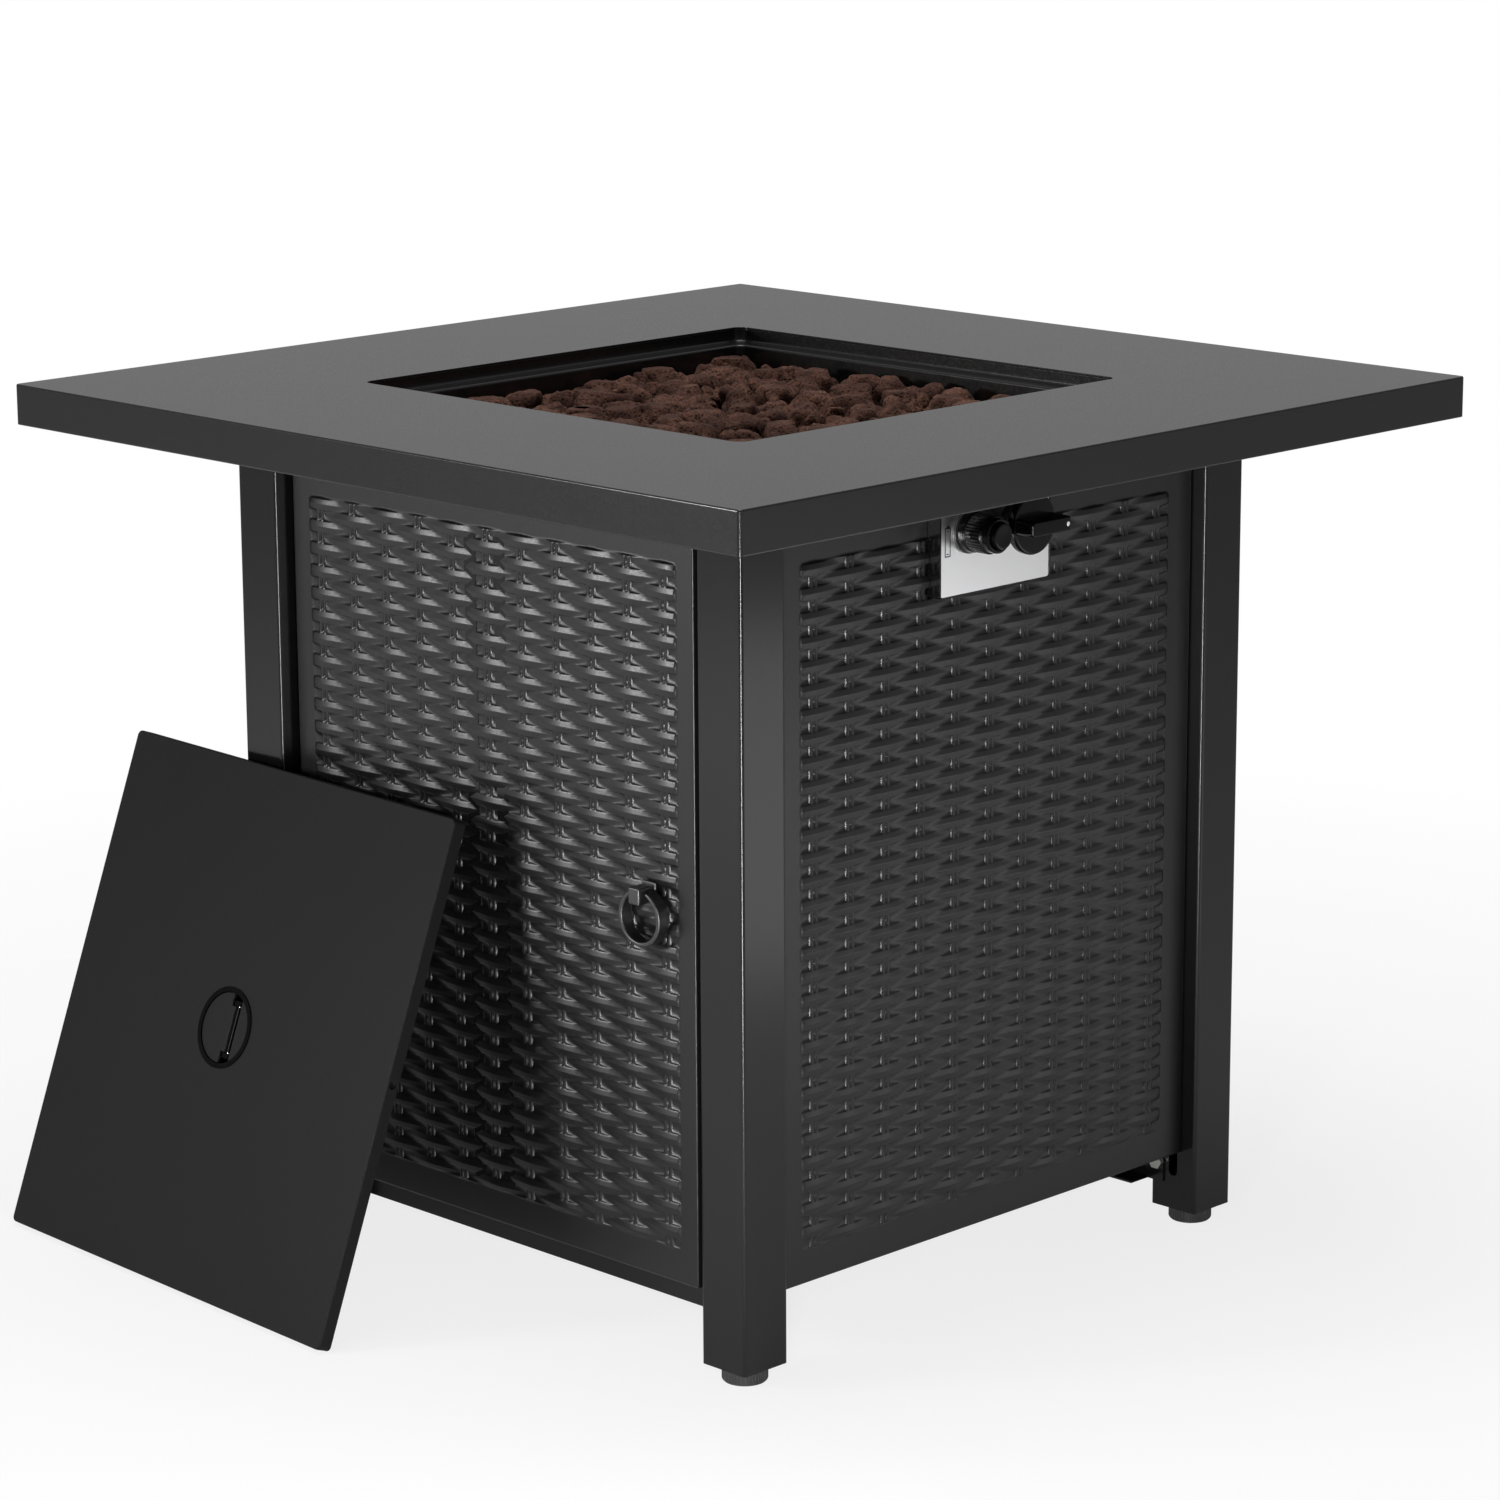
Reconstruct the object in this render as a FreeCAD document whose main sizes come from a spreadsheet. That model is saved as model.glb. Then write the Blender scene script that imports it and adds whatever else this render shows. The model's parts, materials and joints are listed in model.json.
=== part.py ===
"""Gas fire pit table: a square steel table with a cabinet for the gas bottle under its fire bowl.

Millimetres, +Z up. The sizes are given from the table's centre on the floor, with the door on
the -Y side and the controls on the +X side. The whole object, with the lid that leans on its
front, stands centred on the origin.
"""
import FreeCAD, Part
import math
import os
import random
import re
import Sketcher

SIZES = {
    # the table's centre, seen from the middle of the space that the table and its lid take up
    "table_x": 8.2,
    "table_y": 19.9,
    # table top
    "top_side": 711.2,
    "top_height": 612,
    "top_skirt": 28.5,
    "top_sheet": 1.5,
    "top_hem": 10,
    "top_corner": 3,
    "opening_side": 370,
    "opening_corner": 8,
    "stud_radius": 2.5,
    "stud_length": 12,
    "stud_margin": 11,
    "stud_spread": 120,
    "nut_width": 8,
    "nut_height": 4,
    # legs and levelling feet
    "leg_margin": 22.5,
    "leg_side": 40,
    "leg_wall": 1.5,
    "leg_corner": 2.5,
    "slot_width": 8,
    "slot_height": 20,
    "slot_level": 46,
    "foot_height": 11,
    "foot_radius": 15,
    "foot_stud_radius": 4,
    "foot_stud_length": 24,
    "insert_height": 22,
    # rails
    "rail_sheet": 1.5,
    "top_rail_height": 19,
    "top_rail_flange": 22,
    "low_rail_level": 30,
    "low_rail_height": 30,
    "low_rail_flange": 20,
    "low_rail_lap": 12,
    "bolt_radius": 3,
    "bolt_head_radius": 5.8,
    "bolt_head_height": 3.5,
    "bolt_length": 9,
    "bolt_inset": 7,
    "tray_half": 165,
    "tray_lip": 15,
    "tray_hole_radius": 107.5,
    # side and back panels
    "panel_sheet": 1.2,
    "panel_recess": 12.5,
    "panel_depth": 15,
    "panel_low": 55,
    "panel_drop": 36,
    "panel_corner": 2.2,
    "field_margin": 25,
    "field_lift": 22.5,
    "field_drop": 36,
    "field_rise": 1.5,
    "field_corner": 6,
    # door and its hinges
    "door_hinge_gap": 3.5,
    "door_latch_gap": 15.5,
    "door_depth": 12.5,
    "door_drop": 1,
    "door_field_left": 18,
    "door_field_right": 14.5,
    "door_return": 14,
    "hinge_setback": 6,
    "hinge_pin_radius": 3,
    "hinge_pin_reach": 10,
    "hinge_head_radius": 4.5,
    "hinge_head_height": 2,
    "bracket_sheet": 2,
    "bracket_width": 17.5,
    "bracket_front": 8,
    "bracket_back": 20,
    "bracket_drop": 20,
    "stiffener_half": 20,
    "stiffener_depth": 10,
    "stiffener_web": 9,
    "stop_width": 32,
    "stop_leg": 14,
    "catch_half": 18,
    "catch_width": 10,
    "catch_depth": 14,
    "catch_level": 318,
    # ring pull on the door
    "pull_x": 152,
    "pull_axis_level": 320,
    "pull_axis_depth": 8,
    "pull_block_width": 10,
    "pull_block_depth": 17.5,
    "pull_block_low": 313,
    "pull_block_high": 324,
    "ring_radius": 19.5,
    "ring_wall": 3.5,
    "ring_depth": 10,
    "ring_drop": 17,
    "ring_bar_radius": 2,
    # fire bowl and burner
    "bowl_flange": 17.5,
    "bowl_sheet": 1.5,
    "bowl_gap": 0.5,
    "bowl_ledge": 15.5,
    "bowl_depth": 67,
    "burner_radius": 65.6,
    "burner_tube": 6.5,
    "burner_height": 18,
    "spoke_radius": 6,
    "hub_radius": 14,
    "hub_height": 9.5,
    "nipple_radius": 9,
    "nipple_length": 17,
    "port_radius": 1.2,
    "port_count": 24,
    "burner_nut_radius": 15,
    "burner_nut_height": 7,
    "mixer_radius": 12,
    "mixer_wall": 1.6,
    "mixer_neck": 9,
    "mixer_drop": 38.5,
    "mixer_throat": 15,
    "mixer_length": 28,
    "air_width": 8,
    "air_height": 9,
    "shield_half": 150,
    "shield_drop": 21.8,
    "shield_sheet": 1.2,
    "shield_tab": 20,
    "shield_foot": 11,
    "shield_hole_radius": 16,
    "rock_pitch": 41.5,
    "rock_half": 19,
    "probe_gap": 14.4,
    "probe_spread": 9,
    "probe_reach": 20,
    "probe_below": 5,
    "spark_radius": 3.5,
    "sensor_radius": 3,
    "probe_bracket_half": 16,
    "probe_bracket_gap": 7.2,
    "probe_bracket_width": 20.2,
    # control box and plate
    "box_left": -62,
    "box_right": 47,
    "box_height": 71,
    "box_drop": 6,
    "box_stand": 11,
    "box_depth": 30,
    "box_wall": 1.2,
    "box_corner": 3,
    "box_flange": 8,
    "plate_sheet": 1.2,
    "plate_sink": 0.5,
    "plate_inset": 0.3,
    "plate_ledge": 6,
    "box_screw_radius": 1.5,
    "box_screw_head": 3,
    "box_screw_drop": 14,
    # gas valve and knob, in front of (out) and behind (in) the plate's face
    "knob_y": 5.7,
    "knob_drop": 26,
    "stem_radius": 4,
    "stem_out": 16.5,
    "stem_in": 13.5,
    "knob_base_radius": 14,
    "knob_disc_radius": 20,
    "knob_rim": 7,
    "knob_gap": 4,
    "knob_out": 23.5,
    "grip_half": 19.5,
    "grip_width": 11.5,
    "grip_depth": 15,
    "valve_in": 45.5,
    "valve_boss_in": 7.5,
    "valve_half": 13,
    "valve_boss_radius": 10,
    "plug_radius": 8,
    "plug_in": 33.5,
    "push_travel": 3,
    "inlet_inset": 4.5,
    "inlet_thread_radius": 7.9,
    "inlet_hex_radius": 9,
    "inlet_hex_height": 9,
    "inlet_length": 24,
    "inlet_bore_radius": 3,
    "pipe_radius": 4,
    "pipe_wall": 1,
    "pipe_drop": 50,
    "pipe_clear": 7.5,
    "pipe_rise": 4,
    "pipe_bend_high": 12,
    "pipe_bend_low": 16,
    "pipe_bend_mixer": 9,
    # igniter
    "igniter_y": -34,
    "igniter_drop": 28,
    "igniter_radius": 11,
    "igniter_bore": 8.4,
    "igniter_in": 52.5,
    "igniter_out": 12.5,
    "igniter_flange_radius": 15,
    "igniter_flange": 2.2,
    "igniter_nut_radius": 14.5,
    "igniter_nut_height": 4,
    "cap_radius": 12.8,
    "cap_out": 25.5,
    "cap_ring_radius": 11.5,
    "cap_ring_out": 29,
    "cap_ribs": 24,
    "button_radius": 9.4,
    "button_out": 31.5,
    "button_stem_radius": 6,
    "button_travel": 4,
    "battery_radius": 7.1,
    "battery_length": 50.5,
    "battery_nub": 1.5,
    "battery_nub_radius": 2.7,
    "battery_gap": 0.2,
    "spring_radius": 5,
    "spring_wall": 0.8,
    "wire_radius": 1.25,
    "wire_lead": 17,
    "wire_sag_x": 4,
    "wire_sag_y": 7,
    "wire_dip": 2,
    "wire_run": 28,
    "wire_bend_high": 100,
    "wire_bend_middle": 90,
    "wire_bend_low": 40,
    # lid
    "lid_gap": 2,
    "lid_depth": 10,
    "lid_sheet": 1.2,
    "lid_corner": 4,
    "lid_hole_radius": 2.75,
    "lid_left": 124.5,
    "lid_stand": 128.9,
    "lid_reach": 134.87,
    "lid_yaw": -2.99,
    "cup_radius": 28.8,
    "cup_wall_radius": 26,
    "cup_sheet": 0.8,
    "cup_depth": 9,
    "flap_axis": 7.5,
    "flap_axis_depth": 3.2,
    "flap_barrel_radius": 3.2,
    "flap_barrel_half": 16.5,
    "flap_plate": 2.2,
    "flap_pin_radius": 1.5,
    "flap_notch": 3.3,
    "flap_lug_half": 3.5,
    "flap_lug_width": 3.5,
    # clearances
    "seat_gap": 0.3,
    "running_gap": 0.05,
    "hole_gap": 0.25,
}

# places and sizes that follow the ones above
FOLLOWING = {
    "stud_row": "opening_side / 2 + stud_margin",
    "leg_outer": "opening_side / 2 + leg_margin + leg_side",
    "low_rail_half": "leg_outer - leg_side + low_rail_lap",
    "bolt_x": "leg_outer - leg_side + bolt_inset",
    "panel_high": "top_height - panel_drop",
    "field_half": "leg_outer - leg_side - field_margin",
    "field_low": "panel_low + field_lift",
    "field_high": "panel_high - field_drop",
    "door_high": "panel_high - door_drop",
    "mixer_low": "top_height - bowl_depth + bowl_sheet - mixer_drop",
    "mixer_high": "mixer_low + mixer_length",
    "probe_x": "burner_radius + probe_gap",
    "probe_bracket_from": "burner_radius + probe_bracket_gap",
    "probe_bracket_to": "probe_bracket_from + probe_bracket_width",
    "box_high": "panel_high - box_drop",
    "box_low": "box_high - box_height",
    "box_front": "leg_outer - panel_recess + box_stand",
    "box_back": "box_front - box_depth",
    "box_screw_level": "box_high - box_screw_drop",
    "plate_front": "box_front - plate_sink",
    "plate_back": "plate_front - plate_sheet",
    "knob_level": "box_high - knob_drop",
    "stem_front": "plate_front + stem_out",
    "stem_back": "plate_front - stem_in",
    "knob_face": "plate_front + knob_out",
    "valve_back": "plate_front - valve_in",
    "valve_shoulder": "plate_front - valve_boss_in",
    "plug_back": "plate_front - plug_in",
    "inlet_x": "valve_back + inlet_inset",
    "pipe_level": "knob_level + pipe_rise",
    "pipe_run": "top_height - bowl_depth - pipe_drop",
    "pipe_down_x": "opening_side / 2 + bowl_gap - bowl_ledge + bowl_sheet + pipe_clear",
    "igniter_level": "box_high - igniter_drop",
    "igniter_back": "plate_front - igniter_in",
    "igniter_front": "plate_front + igniter_out",
    "cap_front": "plate_front + cap_out",
    "cap_ring_front": "plate_front + cap_ring_out",
    "button_front": "plate_front + button_out",
    "lid_side": "opening_side - 2 * lid_gap",
    "lid_x": "-leg_outer - lid_left",
    "lid_y": "-leg_outer - lid_stand",
}

SHEET_NAME = "size"
ALIAS = re.compile(r"\b(" + "|".join(SIZES) + r")\b")
FOLLOWER = re.compile(r"\b(" + "|".join(FOLLOWING) + r")\b")

# lines and levels that several sub-parts share
TOP_HALF = "(top_side / 2)"
TOP_UNDER = "(top_height - top_sheet)"
OPENING_HALF = "(opening_side / 2)"
LEG_INNER = "(leg_outer - leg_side)"
LEG_CENTRE = "(leg_outer - leg_side / 2)"
LEG_LOW = "(foot_height + seat_gap)"
PANEL_FACE = "(leg_outer - panel_recess)"
BOLT_LEVEL = "(low_rail_level + low_rail_height / 2)"
LOW_RAIL_FACE = "(leg_outer - leg_side - rail_sheet)"
TRAY_LEVEL = "(low_rail_level + rail_sheet)"
BOWL_HALF = f"({OPENING_HALF} + bowl_gap)"
BOWL_TOP = TOP_UNDER
LEDGE_LEVEL = "(top_height - lid_depth - bowl_gap)"
PAN_HALF = f"({BOWL_HALF} - bowl_ledge)"
BOWL_FLOOR = "(top_height - bowl_depth + bowl_sheet)"
BOWL_UNDER = "(top_height - bowl_depth)"
TOP_RAIL_LEVEL = f"({BOWL_TOP} - bowl_sheet)"
BURNER_LEVEL = f"({BOWL_FLOOR} + burner_height)"
BURNER_TOP = f"({BURNER_LEVEL} + burner_tube)"
DOOR_LEFT = f"(-{LEG_INNER} + door_hinge_gap)"
DOOR_RIGHT = f"({LEG_INNER} - door_latch_gap)"
DOOR_BACK = f"(-{PANEL_FACE} + door_depth)"
HINGE_X = f"({DOOR_LEFT} + hinge_setback)"
HINGE_Y = f"(-{PANEL_FACE} + hinge_setback)"
PULL_Y = f"(-{PANEL_FACE} - pull_axis_depth)"
RING_LEVEL = "(pull_axis_level - ring_drop)"

doc = FreeCAD.newDocument("fire_pit_table")
sheet = doc.addObject("Spreadsheet::Sheet", SHEET_NAME)
for row, (alias, length) in enumerate(SIZES.items(), start=1):
    sheet.set(f"A{row}", alias)
    sheet.set(f"B{row}", str(length))
    sheet.setAlias(f"B{row}", alias)
doc.recompute()

sub_parts = []


def expanded(expression):
    """An expression with each name that follows others written out in the sheet's names."""
    text = str(expression)
    while FOLLOWER.search(text):
        text = FOLLOWER.sub(lambda found: f"({FOLLOWING[found.group(1)]})", text)
    return text


def value(expression):
    """The number that an expression in the named sizes gives."""
    return float(sheet.evalExpression(expanded(expression)))


def bind(item, name, expression):
    """Bind a property to an expression in the named sizes."""
    item.setExpression(name, ALIAS.sub(SHEET_NAME + r".\1", expanded(expression)))


def vector(x, y, z):
    """A vector from three expressions."""
    return FreeCAD.Vector(value(x), value(y), value(z))


def place(item, x="0", y="0", z="0", turn=0):
    """Bind an item's place, given from the table's centre, with a turn about Z in degrees."""
    item.Placement = FreeCAD.Placement(FreeCAD.Vector(), FreeCAD.Rotation(FreeCAD.Vector(0, 0, 1), turn))
    bind(item, "Placement.Base.x", f"table_x + {x}")
    bind(item, "Placement.Base.y", f"table_y + {y}")
    bind(item, "Placement.Base.z", z)


def lid_placement():
    """The leaning lid's place: its outer face's lower left corner, turned by its yaw and lean.

    It leans until its upper back edge has come in by its reach, where it meets the leg."""
    side = value("lid_side")
    depth = value("lid_depth")
    lean = math.asin(value("lid_reach") / math.hypot(side, depth)) - math.atan2(depth, side)
    yaw = FreeCAD.Rotation(FreeCAD.Vector(0, 0, 1), value("lid_yaw"))
    tilt = FreeCAD.Rotation(FreeCAD.Vector(1, 0, 0), -math.degrees(lean))
    base = vector("table_x + lid_x", "table_y + lid_y", depth * math.sin(lean))
    return FreeCAD.Placement(base, yaw.multiply(tilt))


def new_body(label, x="0", y="0", z="0", turn=0):
    """An empty body with its label and place."""
    body = doc.addObject("PartDesign::Body", label)
    body.Label = label
    place(body, x, y, z, turn)
    sub_parts.append(body)
    return body


def new_lid_body(label):
    """An empty body in the lid's own frame: x across, y inwards from its face, z up its face."""
    body = new_body(label)
    for name in ("x", "y", "z"):
        body.setExpression(f"Placement.Base.{name}", None)
    body.Placement = lid_placement()
    return body


def new_shape(label, shape):
    """A sub-part whose form is swept or faceted, given from the table's centre."""
    item = doc.addObject("Part::Feature", label)
    item.Label = label
    item.Shape = shape
    place(item)
    sub_parts.append(item)
    return item


def origin_plane(body, plane):
    """One of a body's own origin planes, such as XY."""
    return next(item for item in body.Origin.OriginFeatures if item.Role == plane + "_Plane")


def constrain(sketch, kind, where, expression):
    """Add a signed distance or radius constraint that follows an expression."""
    index = sketch.addConstraint(Sketcher.Constraint(kind, *where, value(expression)))
    bind(sketch, f"Constraints[{index}]", expression)


def polygon(points):
    """A closed outline through corner points."""
    def draw(sketch):
        first = sketch.GeometryCount
        count = len(points)
        corners = [vector(u, v, "0") for u, v in points]
        for index in range(count):
            line = Part.LineSegment(corners[index], corners[(index + 1) % count])
            sketch.addGeometry(line, False)
        for index, (u, v) in enumerate(points):
            following = first + (index + 1) % count
            sketch.addConstraint(Sketcher.Constraint("Coincident", first + index, 2, following, 1))
            constrain(sketch, "DistanceX", (-1, 1, first + index, 1), u)
            constrain(sketch, "DistanceY", (-1, 1, first + index, 1), v)
    return draw


def box(u_low, u_high, v_low, v_high):
    """A rectangle."""
    return polygon([(u_low, v_low), (u_high, v_low), (u_high, v_high), (u_low, v_high)])


def disc(u, v, radius):
    """A circle."""
    def draw(sketch):
        index = sketch.GeometryCount
        circle = Part.Circle(vector(u, v, "0"), FreeCAD.Vector(0, 0, 1), value(radius))
        sketch.addGeometry(circle, False)
        constrain(sketch, "DistanceX", (-1, 1, index, 3), u)
        constrain(sketch, "DistanceY", (-1, 1, index, 3), v)
        constrain(sketch, "Radius", (index,), radius)
    return draw


def hexagon(u, v, radius):
    """A hexagon with its corners at a radius."""
    corners = [(f"{u} + {radius} * cos({60 * k})", f"{v} + {radius} * sin({60 * k})") for k in range(6)]
    return polygon(corners)


def round_box(u_low, u_high, v_low, v_high, radius):
    """A rectangle with rounded corners."""
    def draw(sketch):
        first = sketch.GeometryCount
        centres = [
            (f"{u_low} + {radius}", f"{v_low} + {radius}"),
            (f"{u_high} - {radius}", f"{v_low} + {radius}"),
            (f"{u_high} - {radius}", f"{v_high} - {radius}"),
            (f"{u_low} + {radius}", f"{v_high} - {radius}"),
        ]
        for corner, (u, v) in enumerate(centres):
            start = math.pi + corner * math.pi / 2
            circle = Part.Circle(vector(u, v, "0"), FreeCAD.Vector(0, 0, 1), value(radius))
            sketch.addGeometry(Part.ArcOfCircle(circle, start, start + math.pi / 2), False)
        for corner in range(4):
            tail = sketch.Geometry[first + corner].EndPoint
            head = sketch.Geometry[first + (corner + 1) % 4].StartPoint
            sketch.addGeometry(Part.LineSegment(tail, head), False)
        for corner, (u, v) in enumerate(centres):
            arc = first + corner
            line = first + 4 + corner
            following = first + (corner + 1) % 4
            begin, finish = ("Horizontal", "Vertical") if corner % 2 == 0 else ("Vertical", "Horizontal")
            constrain(sketch, "DistanceX", (-1, 1, arc, 3), u)
            constrain(sketch, "DistanceY", (-1, 1, arc, 3), v)
            constrain(sketch, "Radius", (arc,), radius)
            sketch.addConstraint(Sketcher.Constraint(begin, arc, 1, arc, 3))
            sketch.addConstraint(Sketcher.Constraint(finish, arc, 2, arc, 3))
            sketch.addConstraint(Sketcher.Constraint("Coincident", arc, 2, line, 1))
            sketch.addConstraint(Sketcher.Constraint("Coincident", line, 2, following, 1))
    return draw


def new_sketch(body, plane, outlines, level="0"):
    """A sketch on one of the body's origin planes, moved along the plane's normal."""
    sketch = body.newObject("Sketcher::SketchObject", f"{body.Label}_outline")
    sketch.AttachmentSupport = [(origin_plane(body, plane), "")]
    sketch.MapMode = "FlatFace"
    bind(sketch, "AttachmentOffset.Base.z", level)
    for draw in outlines:
        draw(sketch)
    return sketch


def start_level(plane, low, high):
    """Where along the plane's normal the stretch from low to high begins."""
    return f"-({high})" if plane == "XZ" else low


def add(body, plane, low, high, *outlines):
    """Pad outlines over a stretch of the axis square to the plane."""
    pad = body.newObject("PartDesign::Pad", f"{body.Label}_pad")
    pad.Profile = new_sketch(body, plane, outlines, start_level(plane, low, high))
    bind(pad, "Length", f"({high}) - ({low})")
    doc.recompute()
    return pad


def cut(body, plane, low, high, *outlines):
    """Pocket outlines over a stretch of the axis square to the plane."""
    before = body.Shape.Volume
    pocket = body.newObject("PartDesign::Pocket", f"{body.Label}_pocket")
    pocket.Profile = new_sketch(body, plane, outlines, start_level(plane, low, high))
    pocket.Reversed = True
    bind(pocket, "Length", f"({high}) - ({low})")
    doc.recompute()
    if body.Shape.Volume >= before - 1e-6:
        raise RuntimeError(f"a pocket of {body.Label} removes nothing")
    return pocket


def turn(body, plane, axis, outline, offset="0"):
    """Revolve an outline about one of its sketch's axes."""
    revolution = body.newObject("PartDesign::Revolution", f"{body.Label}_turned")
    sketch = new_sketch(body, plane, [outline], offset)
    revolution.Profile = sketch
    revolution.ReferenceAxis = (sketch, [axis])
    revolution.Angle = 360
    doc.recompute()
    return revolution


def repeat_round(body, feature, count):
    """Repeat a feature round the body's Z axis."""
    pattern = body.newObject("PartDesign::PolarPattern", f"{body.Label}_pattern")
    pattern.Originals = [feature]
    pattern.Axis = (next(item for item in body.Origin.OriginFeatures if item.Role == "Z_Axis"), [""])
    pattern.Angle = 360
    bind(pattern, "Occurrences", count)
    body.Tip = pattern
    doc.recompute()


def round_edges(body, radius, chosen):
    """Fillet the edges that the chosen test picks."""
    base = body.Tip
    names = [f"Edge{k}" for k, edge in enumerate(base.Shape.Edges, start=1) if chosen(edge)]
    fillet = body.newObject("PartDesign::Fillet", f"{body.Label}_fillet")
    fillet.Base = (base, names)
    bind(fillet, "Radius", radius)
    doc.recompute()


def four_ways(u, v):
    """The four places at plus and minus u and v."""
    return [(f"{a} * {u}", f"{b} * {v}") for a in (-1, 1) for b in (-1, 1)]


def make_table_top():
    """The square top: a sheet with its opening, folded down into a skirt with an inward hem."""
    body = new_body("table_top")
    low = "top_height - top_skirt"
    outer = ("-" + TOP_HALF, TOP_HALF)
    inner = (f"-{TOP_HALF} + top_sheet", f"{TOP_HALF} - top_sheet")
    hem = (f"-{TOP_HALF} + top_hem", f"{TOP_HALF} - top_hem")
    opening = ("-" + OPENING_HALF, OPENING_HALF)
    add(body, "XY", low, "top_height", round_box(*outer, *outer, "top_corner"))
    cut(body, "XY", low, f"{low} + top_sheet", box(*hem, *hem))
    cut(body, "XY", f"{low} + top_sheet", TOP_UNDER,
        round_box(*inner, *inner, "(top_corner - top_sheet)"))
    cut(body, "XY", f"{TOP_UNDER} - 1", "top_height + 1", round_box(*opening, *opening, "opening_corner"))
    studs = [disc(u, v, "stud_radius") for u, v in stud_places()]
    add(body, "XY", f"{TOP_UNDER} - stud_length", TOP_UNDER, *studs)


def stud_places():
    """The eight welded studs round the opening that hold the bowl and the rails to the top."""
    return four_ways("stud_row", "stud_spread") + four_ways("stud_spread", "stud_row")


def make_top_nuts():
    """Eight nuts on the welded studs, under the top rails."""
    body = new_body("top_nuts")
    high = f"{TOP_RAIL_LEVEL} - rail_sheet"
    nuts = [hexagon(u, v, "(nut_width / 2 / cos(30))") for u, v in stud_places()]
    bores = [disc(u, v, "(stud_radius + running_gap)") for u, v in stud_places()]
    add(body, "XY", f"{high} - nut_height", high, *nuts, *bores)


def make_legs():
    """Four square tubes; the slots face the cabinet's middle and the bolt holes face the rails."""
    for side_x, right in (("left", -1), ("right", 1)):
        for side_y, rear in (("front", -1), ("rear", 1)):
            body = new_body(f"leg_{side_y}_{side_x}", f"{right} * {LEG_CENTRE}", f"{rear} * {LEG_CENTRE}",
                            turn=0 if rear > 0 else 180)
            half = "(leg_side / 2)"
            hollow = "(leg_side / 2 - leg_wall)"
            add(body, "XY", LEG_LOW, TOP_UNDER,
                round_box("-" + half, half, "-" + half, half, "leg_corner"))
            cut(body, "XY", f"{LEG_LOW} - 1", f"{TOP_UNDER} + 1",
                round_box("-" + hollow, hollow, "-" + hollow, hollow, "(leg_corner - leg_wall)"))
            bolt = f"{-right * rear} * ({LEG_CENTRE} - bolt_x)"
            cut(body, "XZ", f"-{half} - 1", f"-{half} + leg_wall + 1",
                round_box("-slot_width / 2", "slot_width / 2", "slot_level - slot_height / 2",
                          "slot_level + slot_height / 2", "(slot_width / 2 - 0.1)"),
                disc(bolt, BOLT_LEVEL, "(bolt_radius + hole_gap)"))


def make_leg_inserts():
    """Four plugs with threaded bores in the lower ends of the legs."""
    body = new_body("leg_inserts")
    half = "(leg_side / 2 - leg_wall - seat_gap)"
    plugs = []
    for u, v in four_ways(LEG_CENTRE, LEG_CENTRE):
        plugs.append(box(f"{u} - {half}", f"{u} + {half}", f"{v} - {half}", f"{v} + {half}"))
        plugs.append(disc(u, v, "(foot_stud_radius + running_gap)"))
    add(body, "XY", LEG_LOW, f"{LEG_LOW} + insert_height", *plugs)


def make_feet():
    """Four levelling feet: a round pad and a stud that screws into the leg's plug."""
    for side_x, right in (("left", -1), ("right", 1)):
        for side_y, rear in (("front", -1), ("rear", 1)):
            body = new_body(f"foot_{side_y}_{side_x}", f"{right} * {LEG_CENTRE}", f"{rear} * {LEG_CENTRE}")
            profile = [
                ("0", "0"),
                ("foot_radius - 1", "0"),
                ("foot_radius", "1"),
                ("foot_radius", "foot_height - 1.5"),
                ("foot_radius - 1.5", "foot_height"),
                ("foot_stud_radius", "foot_height"),
                ("foot_stud_radius", "foot_height + foot_stud_length"),
                ("0", "foot_height + foot_stud_length"),
            ]
            turn(body, "XZ", "V_Axis", polygon(profile))


def make_top_rails():
    """Four angles between the legs that carry the bowl's flange; the side pair is notched."""
    outer = f"({LEG_INNER} + rail_sheet * 2)"
    web = f"({outer} - rail_sheet)"
    inner = f"({outer} - top_rail_flange)"
    low = f"{TOP_RAIL_LEVEL} - top_rail_height"
    under = f"{TOP_RAIL_LEVEL} - rail_sheet"
    reach = LEG_INNER
    notch = f"({inner} - seat_gap)"
    hole = "(stud_radius + hole_gap)"
    for name, turned, flange_reach in (("front", 0, reach), ("rear", 180, reach),
                                       ("left", 270, notch), ("right", 90, notch)):
        body = new_body(f"top_rail_{name}", turn=turned)
        add(body, "XY", low, TOP_RAIL_LEVEL, box(f"-{reach}", reach, f"-{outer}", f"-{web}"))
        add(body, "XY", under, TOP_RAIL_LEVEL,
            box(f"-{flange_reach}", flange_reach, f"-{web} - 0.5", f"-{inner}"))
        cut(body, "XY", f"{under} - 1", f"{TOP_RAIL_LEVEL} + 1",
            disc("-stud_spread", "-stud_row", hole), disc("stud_spread", "-stud_row", hole))


def make_low_rails():
    """Front and rear rails: an upright web bolted to the legs and a flange that carries the tray."""
    for name, turned in (("front", 180), ("rear", 0)):
        body = new_body(f"low_rail_{name}", turn=turned)
        high = "low_rail_level + low_rail_height"
        add(body, "XY", "low_rail_level", high,
            box("-low_rail_half", "low_rail_half", LOW_RAIL_FACE, LEG_INNER))
        add(body, "XY", "low_rail_level", TRAY_LEVEL,
            box(f"-{LEG_INNER} + 2", f"{LEG_INNER} - 2", f"{LEG_INNER} - low_rail_flange",
                f"{LOW_RAIL_FACE} + 0.5"))
        cut(body, "XZ", f"{LOW_RAIL_FACE} - 1", f"{LEG_INNER} + 1",
            disc("-bolt_x", BOLT_LEVEL, "(bolt_radius + hole_gap)"),
            disc("bolt_x", BOLT_LEVEL, "(bolt_radius + hole_gap)"))


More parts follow.
